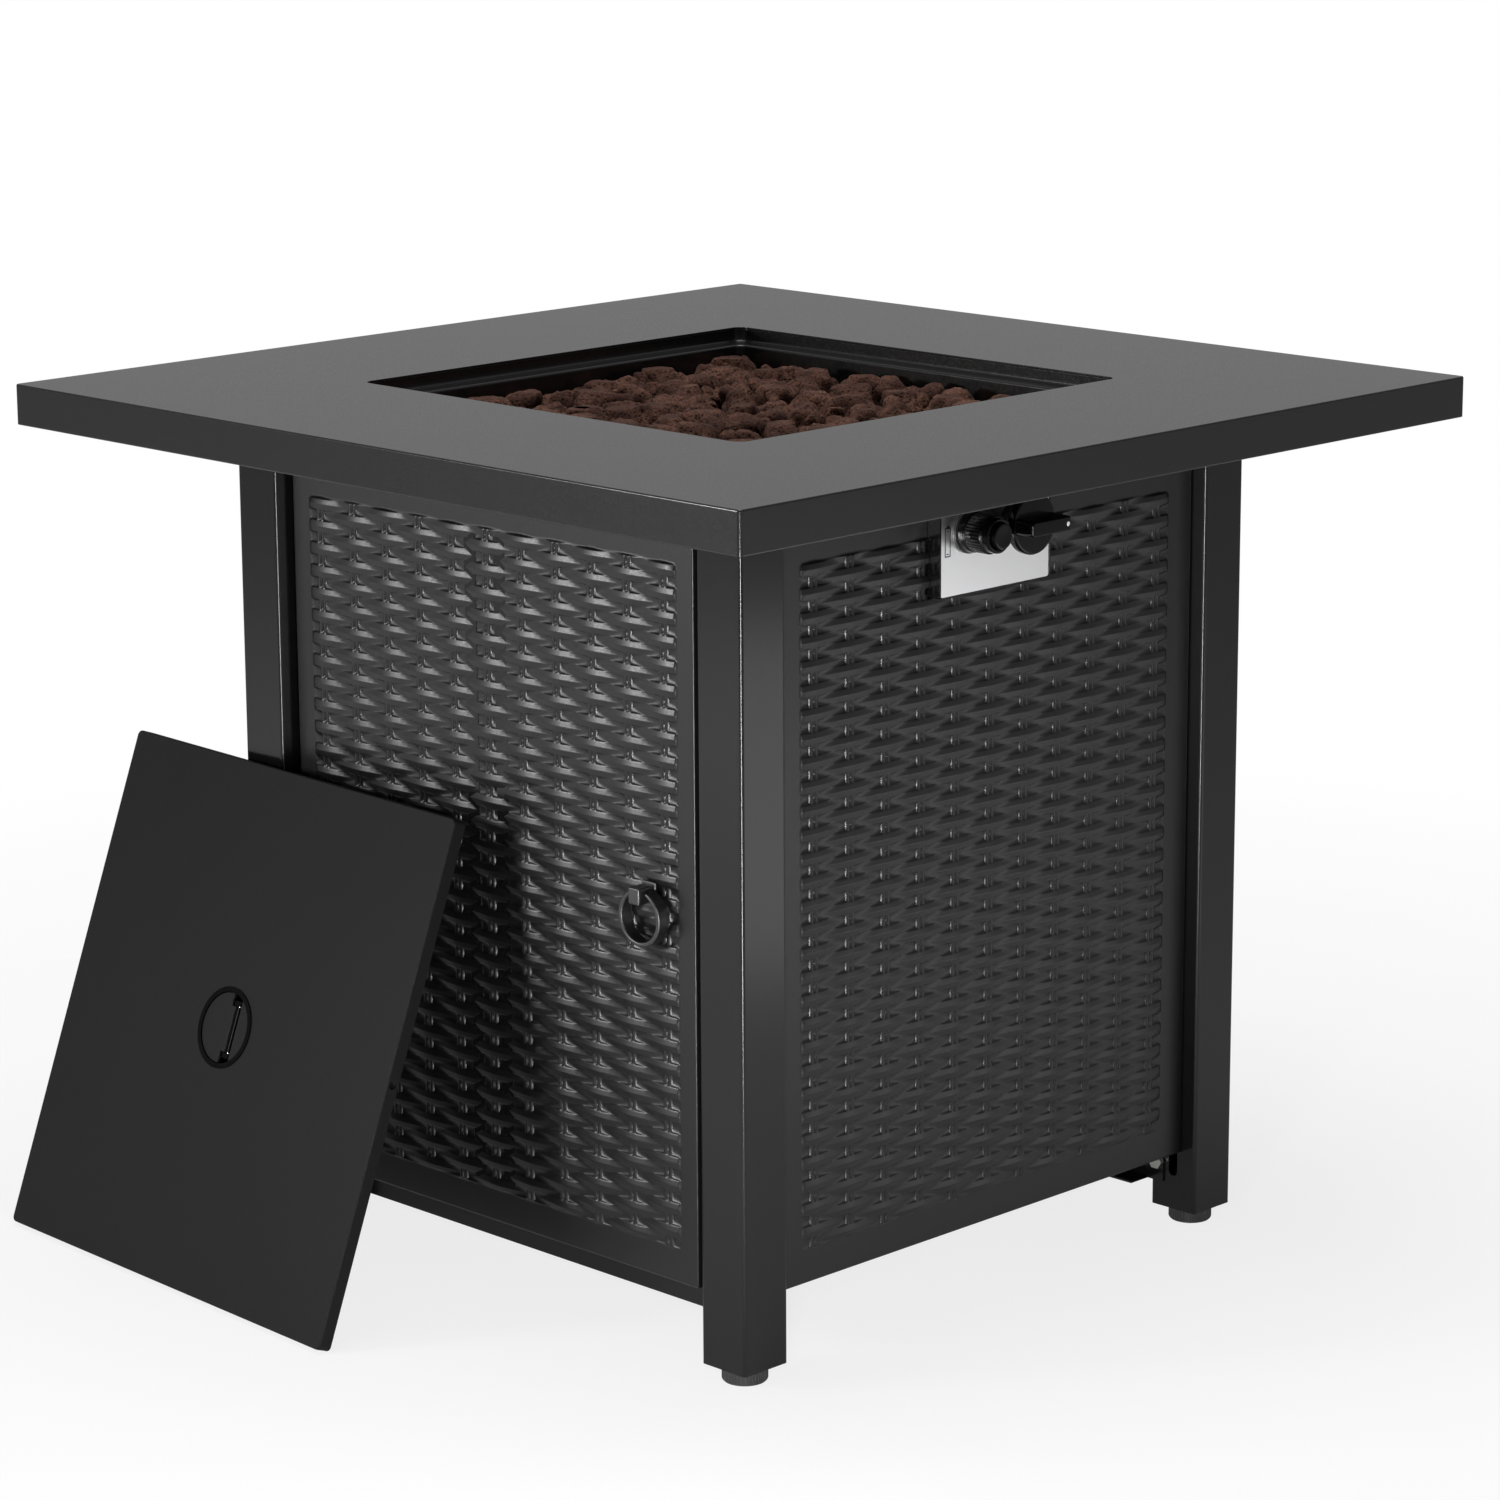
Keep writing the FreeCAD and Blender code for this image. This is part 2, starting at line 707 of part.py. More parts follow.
def make_rail_bolts():
    """Four bolts through the low rails' webs into the legs, heads towards the cabinet."""
    body = new_body("rail_bolts")
    spots = (("-bolt_x", BOLT_LEVEL), ("bolt_x", BOLT_LEVEL))
    for side in (1, -1):
        face = f"{side} * {LOW_RAIL_FACE}"
        head = f"{side} * ({LOW_RAIL_FACE} - bolt_head_height)"
        tip = f"{side} * ({LOW_RAIL_FACE} + bolt_length)"
        heads = [hexagon(u, v, "bolt_head_radius") for u, v in spots]
        shanks = [disc(u, v, "bolt_radius") for u, v in spots]
        add(body, "XZ", *((head, face) if side > 0 else (face, head)), *heads)
        add(body, "XZ", *((face, tip) if side > 0 else (tip, face)), *shanks)


def make_tank_tray():
    """The sheet between the low rails whose round hole takes the gas bottle's foot ring."""
    body = new_body("tank_tray")
    reach = f"({LOW_RAIL_FACE} - seat_gap)"
    high = f"{TRAY_LEVEL} + rail_sheet"
    add(body, "XY", TRAY_LEVEL, high, box("-tray_half", "tray_half", f"-{reach}", reach))
    add(body, "XY", TRAY_LEVEL, f"{TRAY_LEVEL} + tray_lip",
        box("-tray_half", "-tray_half + rail_sheet", f"-{reach}", reach),
        box("tray_half - rail_sheet", "tray_half", f"-{reach}", reach))
    cut(body, "XY", f"{TRAY_LEVEL} - 1", f"{high} + 1", disc("0", "0", "tray_hole_radius"))


def make_panel(label, turned):
    """A folded panel between two legs, hollow behind, with its embossed field raised."""
    body = new_body(label, turn=turned)
    face = f"-{PANEL_FACE}"
    side = (f"-{LEG_INNER}", LEG_INNER)
    hollow = (f"-{LEG_INNER} + panel_sheet", f"{LEG_INNER} - panel_sheet")
    add(body, "XZ", face, f"{face} + panel_depth", box(*side, "panel_low", "panel_high"))
    round_edges(body, "panel_corner", lambda edge: is_upright_at(edge, value(face)))
    cut(body, "XZ", f"{face} + panel_sheet", f"{face} + panel_depth + 1",
        box(*hollow, "panel_low + panel_sheet", "panel_high - panel_sheet"))
    add(body, "XZ", f"{face} - field_rise", f"{face} + 0.1",
        round_box("-field_half", "field_half", "field_low", "field_high", "field_corner"))
    cut(body, "XZ", f"{face} - field_rise + panel_sheet", f"{face} + panel_sheet + 0.1",
        round_box("-field_half + panel_sheet", "field_half - panel_sheet", "field_low + panel_sheet",
                  "field_high - panel_sheet", "(field_corner - panel_sheet)"))
    return body


def is_upright_at(edge, y):
    """Whether an edge runs up Z in the plane at y of its body's frame."""
    ends = [vertex.Point for vertex in edge.Vertexes]
    if len(ends) < 2:
        return False
    level = abs(ends[0].x - ends[1].x) < 1e-6 and abs(ends[0].y - ends[1].y) < 1e-6
    return level and abs(ends[0].y - y) < 1e-6


def make_panels():
    """The back, left and right panels; the right one has the window of the control box."""
    make_panel("back_panel", 180)
    make_panel("left_panel", 270)
    right = make_panel("right_panel", 90)
    face = f"-{PANEL_FACE}"
    cut(right, "XZ", f"{face} - field_rise - 1", f"{face} + panel_sheet + 1",
        box("box_left - seat_gap", "box_right + seat_gap", "box_low - seat_gap", "box_high + seat_gap"))
    cut(right, "XZ", f"{face} - 1", f"{face} + panel_sheet + 1",
        *box_screw_discs("(box_screw_radius + 0.1)"))


def box_screw_discs(radius):
    """The two screws of the control box's flange, seen along X."""
    return [disc("(box_left - box_flange / 2)", "box_screw_level", radius),
            disc("(box_right + box_flange / 2)", "box_screw_level", radius)]


def make_door():
    """The hinged front panel: folded edges, a return behind its free edge and the embossed field."""
    body = new_body("door_panel")
    face = f"-{PANEL_FACE}"
    field = (f"{DOOR_LEFT} + door_field_left", f"{DOOR_RIGHT} - door_field_right")
    add(body, "XZ", face, DOOR_BACK, box(DOOR_LEFT, DOOR_RIGHT, "panel_low", "door_high"))
    round_edges(body, "panel_corner", lambda edge: is_upright_at(edge, value(face)))
    cut(body, "XZ", f"{face} + panel_sheet", f"{DOOR_BACK} - panel_sheet",
        box(f"{DOOR_LEFT} + panel_sheet", f"{DOOR_RIGHT} - panel_sheet", "panel_low + panel_sheet",
            "door_high - panel_sheet"))
    cut(body, "XZ", f"{DOOR_BACK} - panel_sheet - 0.1", f"{DOOR_BACK} + 1",
        box(f"{DOOR_LEFT} + panel_sheet", f"{DOOR_RIGHT} - door_return", "panel_low + panel_sheet",
            "door_high - panel_sheet"))
    add(body, "XZ", f"{face} - field_rise", f"{face} + 0.1",
        round_box(*field, "field_low", "field_high", "field_corner"))
    cut(body, "XZ", f"{face} - field_rise + panel_sheet", f"{face} + panel_sheet + 0.1",
        round_box(f"{field[0]} + panel_sheet", f"{field[1]} - panel_sheet", "field_low + panel_sheet",
                  "field_high - panel_sheet", "(field_corner - panel_sheet)"))
    cut(body, "XY", "panel_low - 1", "door_high + 1",
        disc(HINGE_X, HINGE_Y, "(hinge_pin_radius + running_gap)"))


def make_door_stiffener():
    """The folded channel up the middle of the door's inner side."""
    body = new_body("door_stiffener")
    middle = f"(({DOOR_LEFT} + {DOOR_RIGHT}) / 2)"
    base = f"(-{PANEL_FACE} - field_rise + panel_sheet)"
    front = f"{base} + panel_sheet"
    crest = f"{base} + stiffener_depth"
    outer = f"(stiffener_web + panel_sheet)"
    profile = [
        (f"{middle} - stiffener_half", base),
        (f"{middle} - stiffener_web", base),
        (f"{middle} - stiffener_web", crest),
        (f"{middle} + stiffener_web", crest),
        (f"{middle} + stiffener_web", base),
        (f"{middle} + stiffener_half", base),
        (f"{middle} + stiffener_half", front),
        (f"{middle} + {outer}", front),
        (f"{middle} + {outer}", f"{crest} + panel_sheet"),
        (f"{middle} - {outer}", f"{crest} + panel_sheet"),
        (f"{middle} - {outer}", front),
        (f"{middle} - stiffener_half", front),
    ]
    add(body, "XY", "field_low + field_corner", "field_high - field_corner", polygon(profile))


def make_hinges():
    """Two angle brackets on the left front leg and the headed pins that the door turns on."""
    wall = f"-{LEG_INNER}"
    width = (f"{wall}", f"{wall} + bracket_width")
    depth = (f"-{PANEL_FACE} - bracket_front", f"-{PANEL_FACE} + bracket_back")
    hole = disc(HINGE_X, HINGE_Y, "(hinge_pin_radius + running_gap)")
    upper = "door_high + seat_gap"
    lower = "panel_low - seat_gap"
    body = new_body("hinge_bracket_upper")
    add(body, "XY", upper, f"{upper} + bracket_sheet", box(*width, *depth))
    add(body, "XY", upper, f"{upper} + bracket_drop", box(wall, f"{wall} + bracket_sheet", *depth))
    cut(body, "XY", f"{upper} - 1", f"{upper} + bracket_sheet + 1", hole)
    body = new_body("hinge_bracket_lower")
    add(body, "XY", f"{lower} - bracket_sheet", lower, box(*width, *depth))
    add(body, "XY", f"{lower} - bracket_drop", lower, box(wall, f"{wall} + bracket_sheet", *depth))
    cut(body, "XY", f"{lower} - bracket_sheet - 1", f"{lower} + 1", hole)
    body = new_body("hinge_pins")
    shaft = disc(HINGE_X, HINGE_Y, "hinge_pin_radius")
    head = disc(HINGE_X, HINGE_Y, "hinge_head_radius")
    add(body, "XY", "door_high - hinge_pin_reach", f"{upper} + bracket_sheet", shaft)
    add(body, "XY", f"{upper} + bracket_sheet", f"{upper} + bracket_sheet + hinge_head_height", head)
    add(body, "XY", f"{lower} - bracket_sheet", "panel_low + hinge_pin_reach", shaft)
    add(body, "XY", f"{lower} - bracket_sheet - hinge_head_height", f"{lower} - bracket_sheet", head)


def make_door_stop():
    """The angle on the right front leg that the door closes against, and its magnetic catch."""
    body = new_body("door_stop")
    front = f"({DOOR_BACK} + seat_gap)"
    back = f"({front} + panel_sheet)"
    catch_from = f"({DOOR_RIGHT} - 3 - catch_width)"
    catch_to = f"({DOOR_RIGHT} - 3)"
    low = "catch_level - catch_half"
    high = "catch_level + catch_half"
    add(body, "XY", "panel_low", "door_high",
        box(f"{LEG_INNER} - stop_width", LEG_INNER, front, back))
    add(body, "XY", "panel_low", "door_high",
        box(f"{LEG_INNER} - panel_sheet", LEG_INNER, back, f"{front} + stop_leg"))
    cut(body, "XZ", f"{front} - 1", f"{back} + 1",
        box(f"{catch_from} - 0.1", f"{catch_to} + 0.1", f"{low} - 0.1", f"{high} + 0.1"))
    body = new_body("magnetic_catch")
    add(body, "XZ", front, f"{front} + catch_depth", box(catch_from, catch_to, low, high))
    add(body, "XZ", back, f"{back} + 2",
        box(f"{catch_from} - 4", f"{catch_to} + 4", f"{low} - 4", f"{high} + 4"))


def make_ring_pull():
    """The bracket on the door and the ring that swings in it on a short bar."""
    face = f"-{PANEL_FACE}"
    left = "pull_x - pull_block_width / 2"
    right = "pull_x + pull_block_width / 2"
    body = new_body("ring_pull_bracket")
    add(body, "XZ", f"{face} - pull_block_depth", f"{face} - field_rise",
        box(left, right, "pull_block_low", "pull_block_high"))
    cut(body, "YZ", f"{left} - 1", f"{right} + 1",
        disc(PULL_Y, "pull_axis_level", "(ring_bar_radius + running_gap)"))
    body = new_body("pull_ring")
    add(body, "XZ", f"{PULL_Y} - ring_depth / 2", f"{PULL_Y} + ring_depth / 2",
        disc("pull_x", RING_LEVEL, "ring_radius"), disc("pull_x", RING_LEVEL, "(ring_radius - ring_wall)"))
    cut(body, "XZ", f"{PULL_Y} - ring_depth", f"{PULL_Y} + ring_depth",
        box(f"{left} - seat_gap", f"{right} + seat_gap", RING_LEVEL, f"{RING_LEVEL} + ring_radius + 5"))
    add(body, "YZ", f"{left} - seat_gap - 1.5", f"{right} + seat_gap + 1.5",
        disc(PULL_Y, "pull_axis_level", "ring_bar_radius"))


def make_fire_bowl():
    """The square pan under the opening: flange, wall, the ledge that the lid lies on, and floor."""
    body = new_body("fire_bowl")
    corner = "(opening_corner + bowl_gap)"
    outer = f"({BOWL_HALF} + bowl_sheet)"
    pan = f"({PAN_HALF} + bowl_sheet)"
    pan_corner = "(opening_corner + bowl_gap - 2)"
    under = f"{LEDGE_LEVEL} - bowl_sheet"
    flange = f"({BOWL_HALF} + bowl_flange)"
    add(body, "XY", f"{BOWL_TOP} - bowl_sheet", BOWL_TOP,
        round_box(f"-{flange}", flange, f"-{flange}", flange, "top_corner"))
    add(body, "XY", under, BOWL_TOP,
        round_box(f"-{outer}", outer, f"-{outer}", outer, f"({corner} + bowl_sheet)"))
    add(body, "XY", BOWL_UNDER, f"{under} + 0.1",
        round_box(f"-{pan}", pan, f"-{pan}", pan, f"({pan_corner} + bowl_sheet)"))
    cut(body, "XY", LEDGE_LEVEL, f"{BOWL_TOP} + 1",
        round_box(f"-{BOWL_HALF}", BOWL_HALF, f"-{BOWL_HALF}", BOWL_HALF, corner))
    cut(body, "XY", BOWL_FLOOR, f"{LEDGE_LEVEL} + 1",
        round_box(f"-{PAN_HALF}", PAN_HALF, f"-{PAN_HALF}", PAN_HALF, pan_corner))
    cut(body, "XY", f"{BOWL_TOP} - bowl_sheet - 1", f"{BOWL_TOP} + 1",
        *[disc(u, v, "(stud_radius + hole_gap)") for u, v in stud_places()])
    cut(body, "XY", f"{BOWL_UNDER} - 1", f"{BOWL_FLOOR} + 1",
        disc("0", "0", "(nipple_radius + hole_gap)"),
        disc("probe_x", "-probe_spread", "(spark_radius + hole_gap)"),
        disc("probe_x", "probe_spread", "(sensor_radius + hole_gap)"))


def make_burner():
    """The ring burner with its spokes, hub and threaded nipple, the nut below and the air mixer."""
    body = new_body("burner_ring")
    turn(body, "XZ", "V_Axis", disc("burner_radius", BURNER_LEVEL, "burner_tube"))
    add(body, "XZ", "-burner_radius", "burner_radius", disc("0", BURNER_LEVEL, "spoke_radius"))
    profile = [
        ("0", f"{BOWL_FLOOR} - nipple_length"),
        ("nipple_radius", f"{BOWL_FLOOR} - nipple_length"),
        ("nipple_radius", BOWL_FLOOR),
        ("hub_radius", BOWL_FLOOR),
        ("hub_radius", f"{BOWL_FLOOR} + hub_height"),
        ("nipple_radius", f"{BURNER_TOP} - 1"),
        ("0", f"{BURNER_TOP} - 1"),
    ]
    turn(body, "XZ", "V_Axis", polygon(profile))
    port = cut(body, "XY", BURNER_LEVEL, f"{BURNER_TOP} + 1", disc("burner_radius", "0", "port_radius"))
    repeat_round(body, port, "port_count")
    body = new_body("burner_nut")
    add(body, "XY", f"{BOWL_UNDER} - burner_nut_height", BOWL_UNDER,
        hexagon("0", "0", "burner_nut_radius"), disc("0", "0", "(nipple_radius + running_gap)"))
    body = new_body("air_mixer")
    nipple_end = f"{BOWL_FLOOR} - nipple_length"
    profile = [
        ("pipe_radius - 2", "mixer_low"),
        ("mixer_radius", "mixer_low"),
        ("mixer_radius", "mixer_low + mixer_throat"),
        ("mixer_neck", "mixer_low + mixer_throat + 3"),
        ("mixer_radius", "mixer_low + mixer_throat + 6"),
        ("mixer_radius", "mixer_high"),
        ("nipple_radius + running_gap", "mixer_high"),
        ("nipple_radius + running_gap", nipple_end),
        ("mixer_neck - mixer_wall", nipple_end),
        ("mixer_neck - mixer_wall", "mixer_low + mixer_throat + 3"),
        ("mixer_radius - mixer_wall", "mixer_low + mixer_throat"),
        ("mixer_radius - mixer_wall", "mixer_low + mixer_wall"),
        ("pipe_radius - 2", "mixer_low + mixer_wall"),
    ]
    turn(body, "XZ", "V_Axis", polygon(profile))
    cut(body, "XZ", "-mixer_radius - 1", "mixer_radius + 1",
        box("-air_width / 2", "air_width / 2", "mixer_low + mixer_wall + 2", "mixer_low + mixer_wall + 2 + air_height"))


def make_heat_shield():
    """The plate that keeps the bowl's heat from the bottle, hung from the bowl by four tabs."""
    body = new_body("heat_shield")
    low = f"{BOWL_UNDER} - shield_drop"
    half = "shield_half"
    add(body, "XY", low, f"{low} + shield_sheet", box(f"-{half}", half, f"-{half}", half))
    for side in (-1, 1):
        edge = f"{side} * shield_half"
        wall = f"{side} * (shield_half - shield_sheet)"
        foot = f"{side} * (shield_half - shield_foot)"
        upright = (edge, wall) if side < 0 else (wall, edge)
        turned_in = (edge, foot) if side < 0 else (foot, edge)
        add(body, "XY", low, BOWL_UNDER, box(*upright, "-shield_tab", "shield_tab"))
        add(body, "XY", f"{BOWL_UNDER} - shield_sheet", BOWL_UNDER,
            box(*turned_in, "-shield_tab", "shield_tab"))
    cut(body, "XY", f"{low} - 1", f"{low} + shield_sheet + 1", disc("0", "0", "shield_hole_radius"))


def make_probes():
    """The spark electrode and the flame sensor on their bracket beside the burner."""
    body = new_body("probe_bracket")
    high = f"{BOWL_FLOOR} + panel_sheet"
    add(body, "XY", BOWL_FLOOR, high,
        box("probe_bracket_from", "probe_bracket_to", "-probe_bracket_half", "probe_bracket_half"))
    cut(body, "XY", f"{BOWL_FLOOR} - 1", f"{high} + 1",
        disc("probe_x", "-probe_spread", "(spark_radius + running_gap)"),
        disc("probe_x", "probe_spread", "(sensor_radius + running_gap)"))
    for label, radius, y in (("spark_electrode", "spark_radius", "-probe_spread"),
                             ("flame_sensor", "sensor_radius", "probe_spread")):
        body = new_body(label, "probe_x", y)
        shoulder = f"{high} + 9"
        tip = f"{BOWL_FLOOR} + probe_reach"
        profile = [
            ("0", f"{BOWL_UNDER} - probe_below"),
            (radius, f"{BOWL_UNDER} - probe_below"),
            (radius, high),
            (f"{radius} + 0.8", high),
            (f"{radius} + 0.8", f"{high} + 2"),
            (radius, f"{high} + 2"),
            (radius, shoulder),
            ("0.9", shoulder),
            ("0.9", tip),
            ("0", tip),
        ]
        turn(body, "XZ", "V_Axis", polygon(profile))


def rock_solid(centre_x, centre_y, low, high, half, chance):
    """A lump of lava rock: a faceted ball with uneven corners, from one level to another."""
    middle = (low + high) / 2
    tall = (high - low) / 2
    corners = [FreeCAD.Vector(centre_x, centre_y, low)]
    for ring, level in ((0, -0.447), (1, 0.447)):
        for step in range(5):
            angle = math.radians(72 * step + 36 * ring) + chance.uniform(-0.12, 0.12)
            reach = half * chance.uniform(0.86, 1.0)
            x = centre_x + reach * math.cos(angle)
            y = centre_y + reach * math.sin(angle)
            corners.append(FreeCAD.Vector(x, y, middle + tall * level * chance.uniform(0.75, 1.25)))
    corners.append(FreeCAD.Vector(centre_x, centre_y, high))
    faces = []
    for step in range(5):
        below, below_next = 1 + step, 1 + (step + 1) % 5
        above, above_next = 6 + step, 6 + (step + 1) % 5
        faces.append((0, below, below_next))
        faces.append((below, below_next, above))
        faces.append((below_next, above, above_next))
        faces.append((above, above_next, 11))
    outlines = [Part.makePolygon([corners[k] for k in (*face, face[0])]) for face in faces]
    solid = Part.Solid(Part.Shell([Part.Face(outline) for outline in outlines]))
    if solid.Volume < 0:
        solid.reverse()
    return solid


def make_lava_rocks():
    """Two layers of lava rock in the pan; the lower one leaves room for the burner."""
    chance = random.Random(7)
    pitch = value("rock_pitch")
    rows = int(2 * value(PAN_HALF) // pitch)
    burner = value("burner_radius")
    tube = value("burner_tube") + 1
    bracket = value("(probe_bracket_to - probe_bracket_from) / 2")
    bracket_x = value("(probe_bracket_to + probe_bracket_from) / 2")
    bracket_half = math.hypot(bracket, value("probe_bracket_half"))
    floor = value(BOWL_FLOOR) + 0.2
    middle = value(BURNER_TOP)
    high = value(LEDGE_LEVEL) - 5
    smallest = value("rock_half") / 2
    rocks = []
    for column in range(rows):
        for line in range(rows):
            x = (column - (rows - 1) / 2) * pitch + chance.uniform(-0.8, 0.8)
            y = (line - (rows - 1) / 2) * pitch + chance.uniform(-0.8, 0.8)
            half = value("rock_half")
            crest = high - chance.uniform(0, 5)
            rocks.append(rock_solid(x, y, middle + value("seat_gap"), crest, half, chance))
            room = min(half, abs(math.hypot(x, y) - burner) - tube,
                       math.hypot(x, y) - value("hub_radius") - 1,
                       math.hypot(x - bracket_x, y) - bracket_half)
            if math.hypot(x, y) < burner:
                room = min(room, abs(x) - value("spoke_radius") - 1)
            if room > smallest:
                rocks.append(rock_solid(x, y, floor, middle, room, chance))
    new_shape("lava_rocks", Part.makeCompound(rocks))


def make_control_box():
    """The box in the right panel's window, its brushed plate and its two screws."""
    body = new_body("control_box")
    flange_back = f"{PANEL_FACE} - panel_sheet - box_wall"
    flange_front = f"{PANEL_FACE} - panel_sheet"
    sides = ("box_left", "box_right", "box_low", "box_high")
    inner = ("box_left + box_wall", "box_right - box_wall", "box_low + box_wall", "box_high - box_wall")
    window = ("box_left + plate_ledge", "box_right - plate_ledge", "box_low + plate_ledge",
              "box_high - plate_ledge")
    add(body, "YZ", "box_back", "box_front", round_box(*sides, "box_corner"))
    add(body, "YZ", flange_back, flange_front,
        box("box_left - box_flange", "box_right + box_flange", "box_low - box_flange", "box_high + 3"))
    cut(body, "YZ", "box_back - 1", f"plate_back - box_wall",
        round_box(*inner, "(box_corner - box_wall)"))
    cut(body, "YZ", "plate_back", "box_front + 1", round_box(*inner, "(box_corner - box_wall)"))
    cut(body, "YZ", f"plate_back - box_wall - 0.5", f"plate_back + 0.5", box(*window))
    cut(body, "YZ", f"{flange_back} - 1", f"{flange_front} + 1",
        *box_screw_discs("(box_screw_radius + 0.1)"))
    body = new_body("control_plate")
    inset = "(box_wall + plate_inset)"
    add(body, "YZ", "plate_back", "plate_front",
        round_box(f"box_left + {inset}", f"box_right - {inset}", f"box_low + {inset}",
                  f"box_high - {inset}", "(box_corner - box_wall)"))
    cut(body, "YZ", f"plate_back - 1", f"plate_front + 1",
        disc("knob_y", "knob_level", "(stem_radius + hole_gap)"),
        disc("igniter_y", "igniter_level", "(igniter_radius + hole_gap)"))
    body = new_body("box_screws")
    add(body, "YZ", f"{flange_back} - 1.5", flange_back, *box_screw_discs("box_screw_head"))
    add(body, "YZ", flange_back, PANEL_FACE, *box_screw_discs("box_screw_radius"))


def make_valve():
    """The gas valve behind the plate, its turning plug, the push stem with the knob, and the inlet."""
    body = new_body("gas_valve")
    block = ("knob_y - valve_half", "knob_y + valve_half",
             "knob_level - valve_half", "knob_level + valve_half")
    add(body, "YZ", "valve_back", "valve_shoulder", round_box(*block, "2"))
    add(body, "YZ", "valve_shoulder", "plate_back", disc("knob_y", "knob_level", "valve_boss_radius"))
    cut(body, "YZ", "plug_back - seat_gap", "stem_back - push_travel + seat_gap",
        disc("knob_y", "knob_level", "(plug_radius + running_gap)"))
    cut(body, "YZ", "stem_back - push_travel", f"plate_back + 1",
        disc("knob_y", "knob_level", "(stem_radius + running_gap)"))
    body = new_body("valve_plug", y="knob_y", z="knob_level")
    add(body, "YZ", "plug_back", "stem_back - push_travel - seat_gap", disc("0", "0", "plug_radius"))
    cut(body, "XY", "-plug_radius - 1", "plug_radius + 1", disc("plug_back + 7", "0", "1.5"))
    body = new_body("valve_stem", y="knob_y", z="knob_level")
    add(body, "YZ", "stem_back", "stem_front", disc("0", "0", "stem_radius"))
    body = new_body("control_knob", y="knob_y", z="knob_level")
    base = "(box_front - 0.5 + knob_gap)"
    profile = [
        (base, "0"),
        (base, "knob_base_radius"),
        ("knob_face - knob_rim", "knob_disc_radius"),
        ("knob_face - 1", "knob_disc_radius"),
        ("knob_face", "knob_disc_radius - 1"),
        ("knob_face", "0"),
    ]
    turn(body, "XY", "H_Axis", polygon(profile))
    add(body, "YZ", "knob_face - 4", "knob_face + grip_depth",
        round_box("-grip_half", "grip_half", "-grip_width / 2", "grip_width / 2", "2.5"))
    cut(body, "YZ", f"{base} - 1", "stem_front + running_gap",
        disc("0", "0", "(stem_radius + running_gap)"))
    body = new_body("gas_inlet", "inlet_x", "knob_y")
    high = "knob_level - valve_half"
    profile = [
        ("inlet_bore_radius", high),
        ("inlet_hex_radius", high),
        ("inlet_hex_radius", f"{high} - inlet_hex_height"),
        ("inlet_thread_radius", f"{high} - inlet_hex_height"),
        ("inlet_thread_radius", f"{high} - inlet_length + 1"),
        ("inlet_thread_radius - 1", f"{high} - inlet_length"),
        ("inlet_bore_radius", f"{high} - inlet_length"),
    ]
    turn(body, "XZ", "V_Axis", polygon(profile))


def make_igniter():
    """The battery igniter: body, nut behind the plate, battery, spring, ribbed cap and button."""
    place_of = {"y": "igniter_y", "z": "igniter_level"}
    flange_from = "plate_front"
    flange_to = f"(plate_front + igniter_flange)"
    battery_from = "(igniter_back + 3)"
    battery_shoulder = f"({battery_from} + battery_length - battery_nub)"
    button_end = "(igniter_front - 2)"
    body = new_body("igniter_body", **place_of)
    add(body, "YZ", "igniter_back", "igniter_front", disc("0", "0", "igniter_radius"))
    add(body, "YZ", flange_from, flange_to, disc("0", "0", "igniter_flange_radius"))
    cut(body, "YZ", battery_from, "igniter_front + 1", disc("0", "0", "igniter_bore"))
    body = new_body("igniter_nut", **place_of)
    add(body, "YZ", f"plate_back - igniter_nut_height", "plate_back",
        hexagon("0", "0", "igniter_nut_radius"), disc("0", "0", "(igniter_radius + running_gap)"))
    body = new_body("igniter_battery", **place_of)
    add(body, "YZ", f"{battery_from} + battery_gap", battery_shoulder,
        disc("0", "0", "battery_radius"))
    add(body, "YZ", battery_shoulder, f"{battery_shoulder} + battery_nub",
        disc("0", "0", "battery_nub_radius"))
    body = new_body("igniter_cap", **place_of)
    add(body, "YZ", f"{flange_to} + seat_gap", "cap_front", disc("0", "0", "cap_radius"))
    add(body, "YZ", "cap_front", "cap_ring_front", disc("0", "0", "cap_ring_radius"))
    cut(body, "YZ", flange_to, "igniter_front + seat_gap", disc("0", "0", "(igniter_radius + running_gap)"))
    cut(body, "YZ", "igniter_front", "cap_ring_front + 1", disc("0", "0", "(button_radius + running_gap)"))
    body = new_body("igniter_button", **place_of)
    add(body, "YZ", "cap_front - 4", "button_front", disc("0", "0", "button_radius"))
    add(body, "YZ", button_end, "cap_front - 4", disc("0", "0", "(button_radius - 1.5)"))
    body = new_body("igniter_spring", **place_of)
    add(body, "YZ", f"{battery_shoulder} + battery_gap", f"{button_end} - button_travel - seat_gap",
        disc("0", "0", "spring_radius"), disc("0", "0", "(spring_radius - spring_wall)"))


def bent_path(points, radii):
    """A wire of straight runs joined by tangent arcs at the inner points."""
    edges = []
    start = points[0]
    for before, corner, after, radius in zip(points, points[1:], points[2:], radii):
        inward = (before - corner).normalize()
        outward = (after - corner).normalize()
        half_turn = (math.pi - inward.getAngle(outward)) / 2
        setback = radius * math.tan(half_turn)
        tangent_in = corner + inward * setback
        tangent_out = corner + outward * setback
        bisector = (inward + outward).normalize()
        middle = corner + bisector * (radius / math.cos(half_turn) - radius)
        edges.append(Part.makeLine(start, tangent_in))
        edges.append(Part.Arc(tangent_in, middle, tangent_out).toShape())
        start = tangent_out
    edges.append(Part.makeLine(start, points[-1]))
    return Part.Wire(edges)


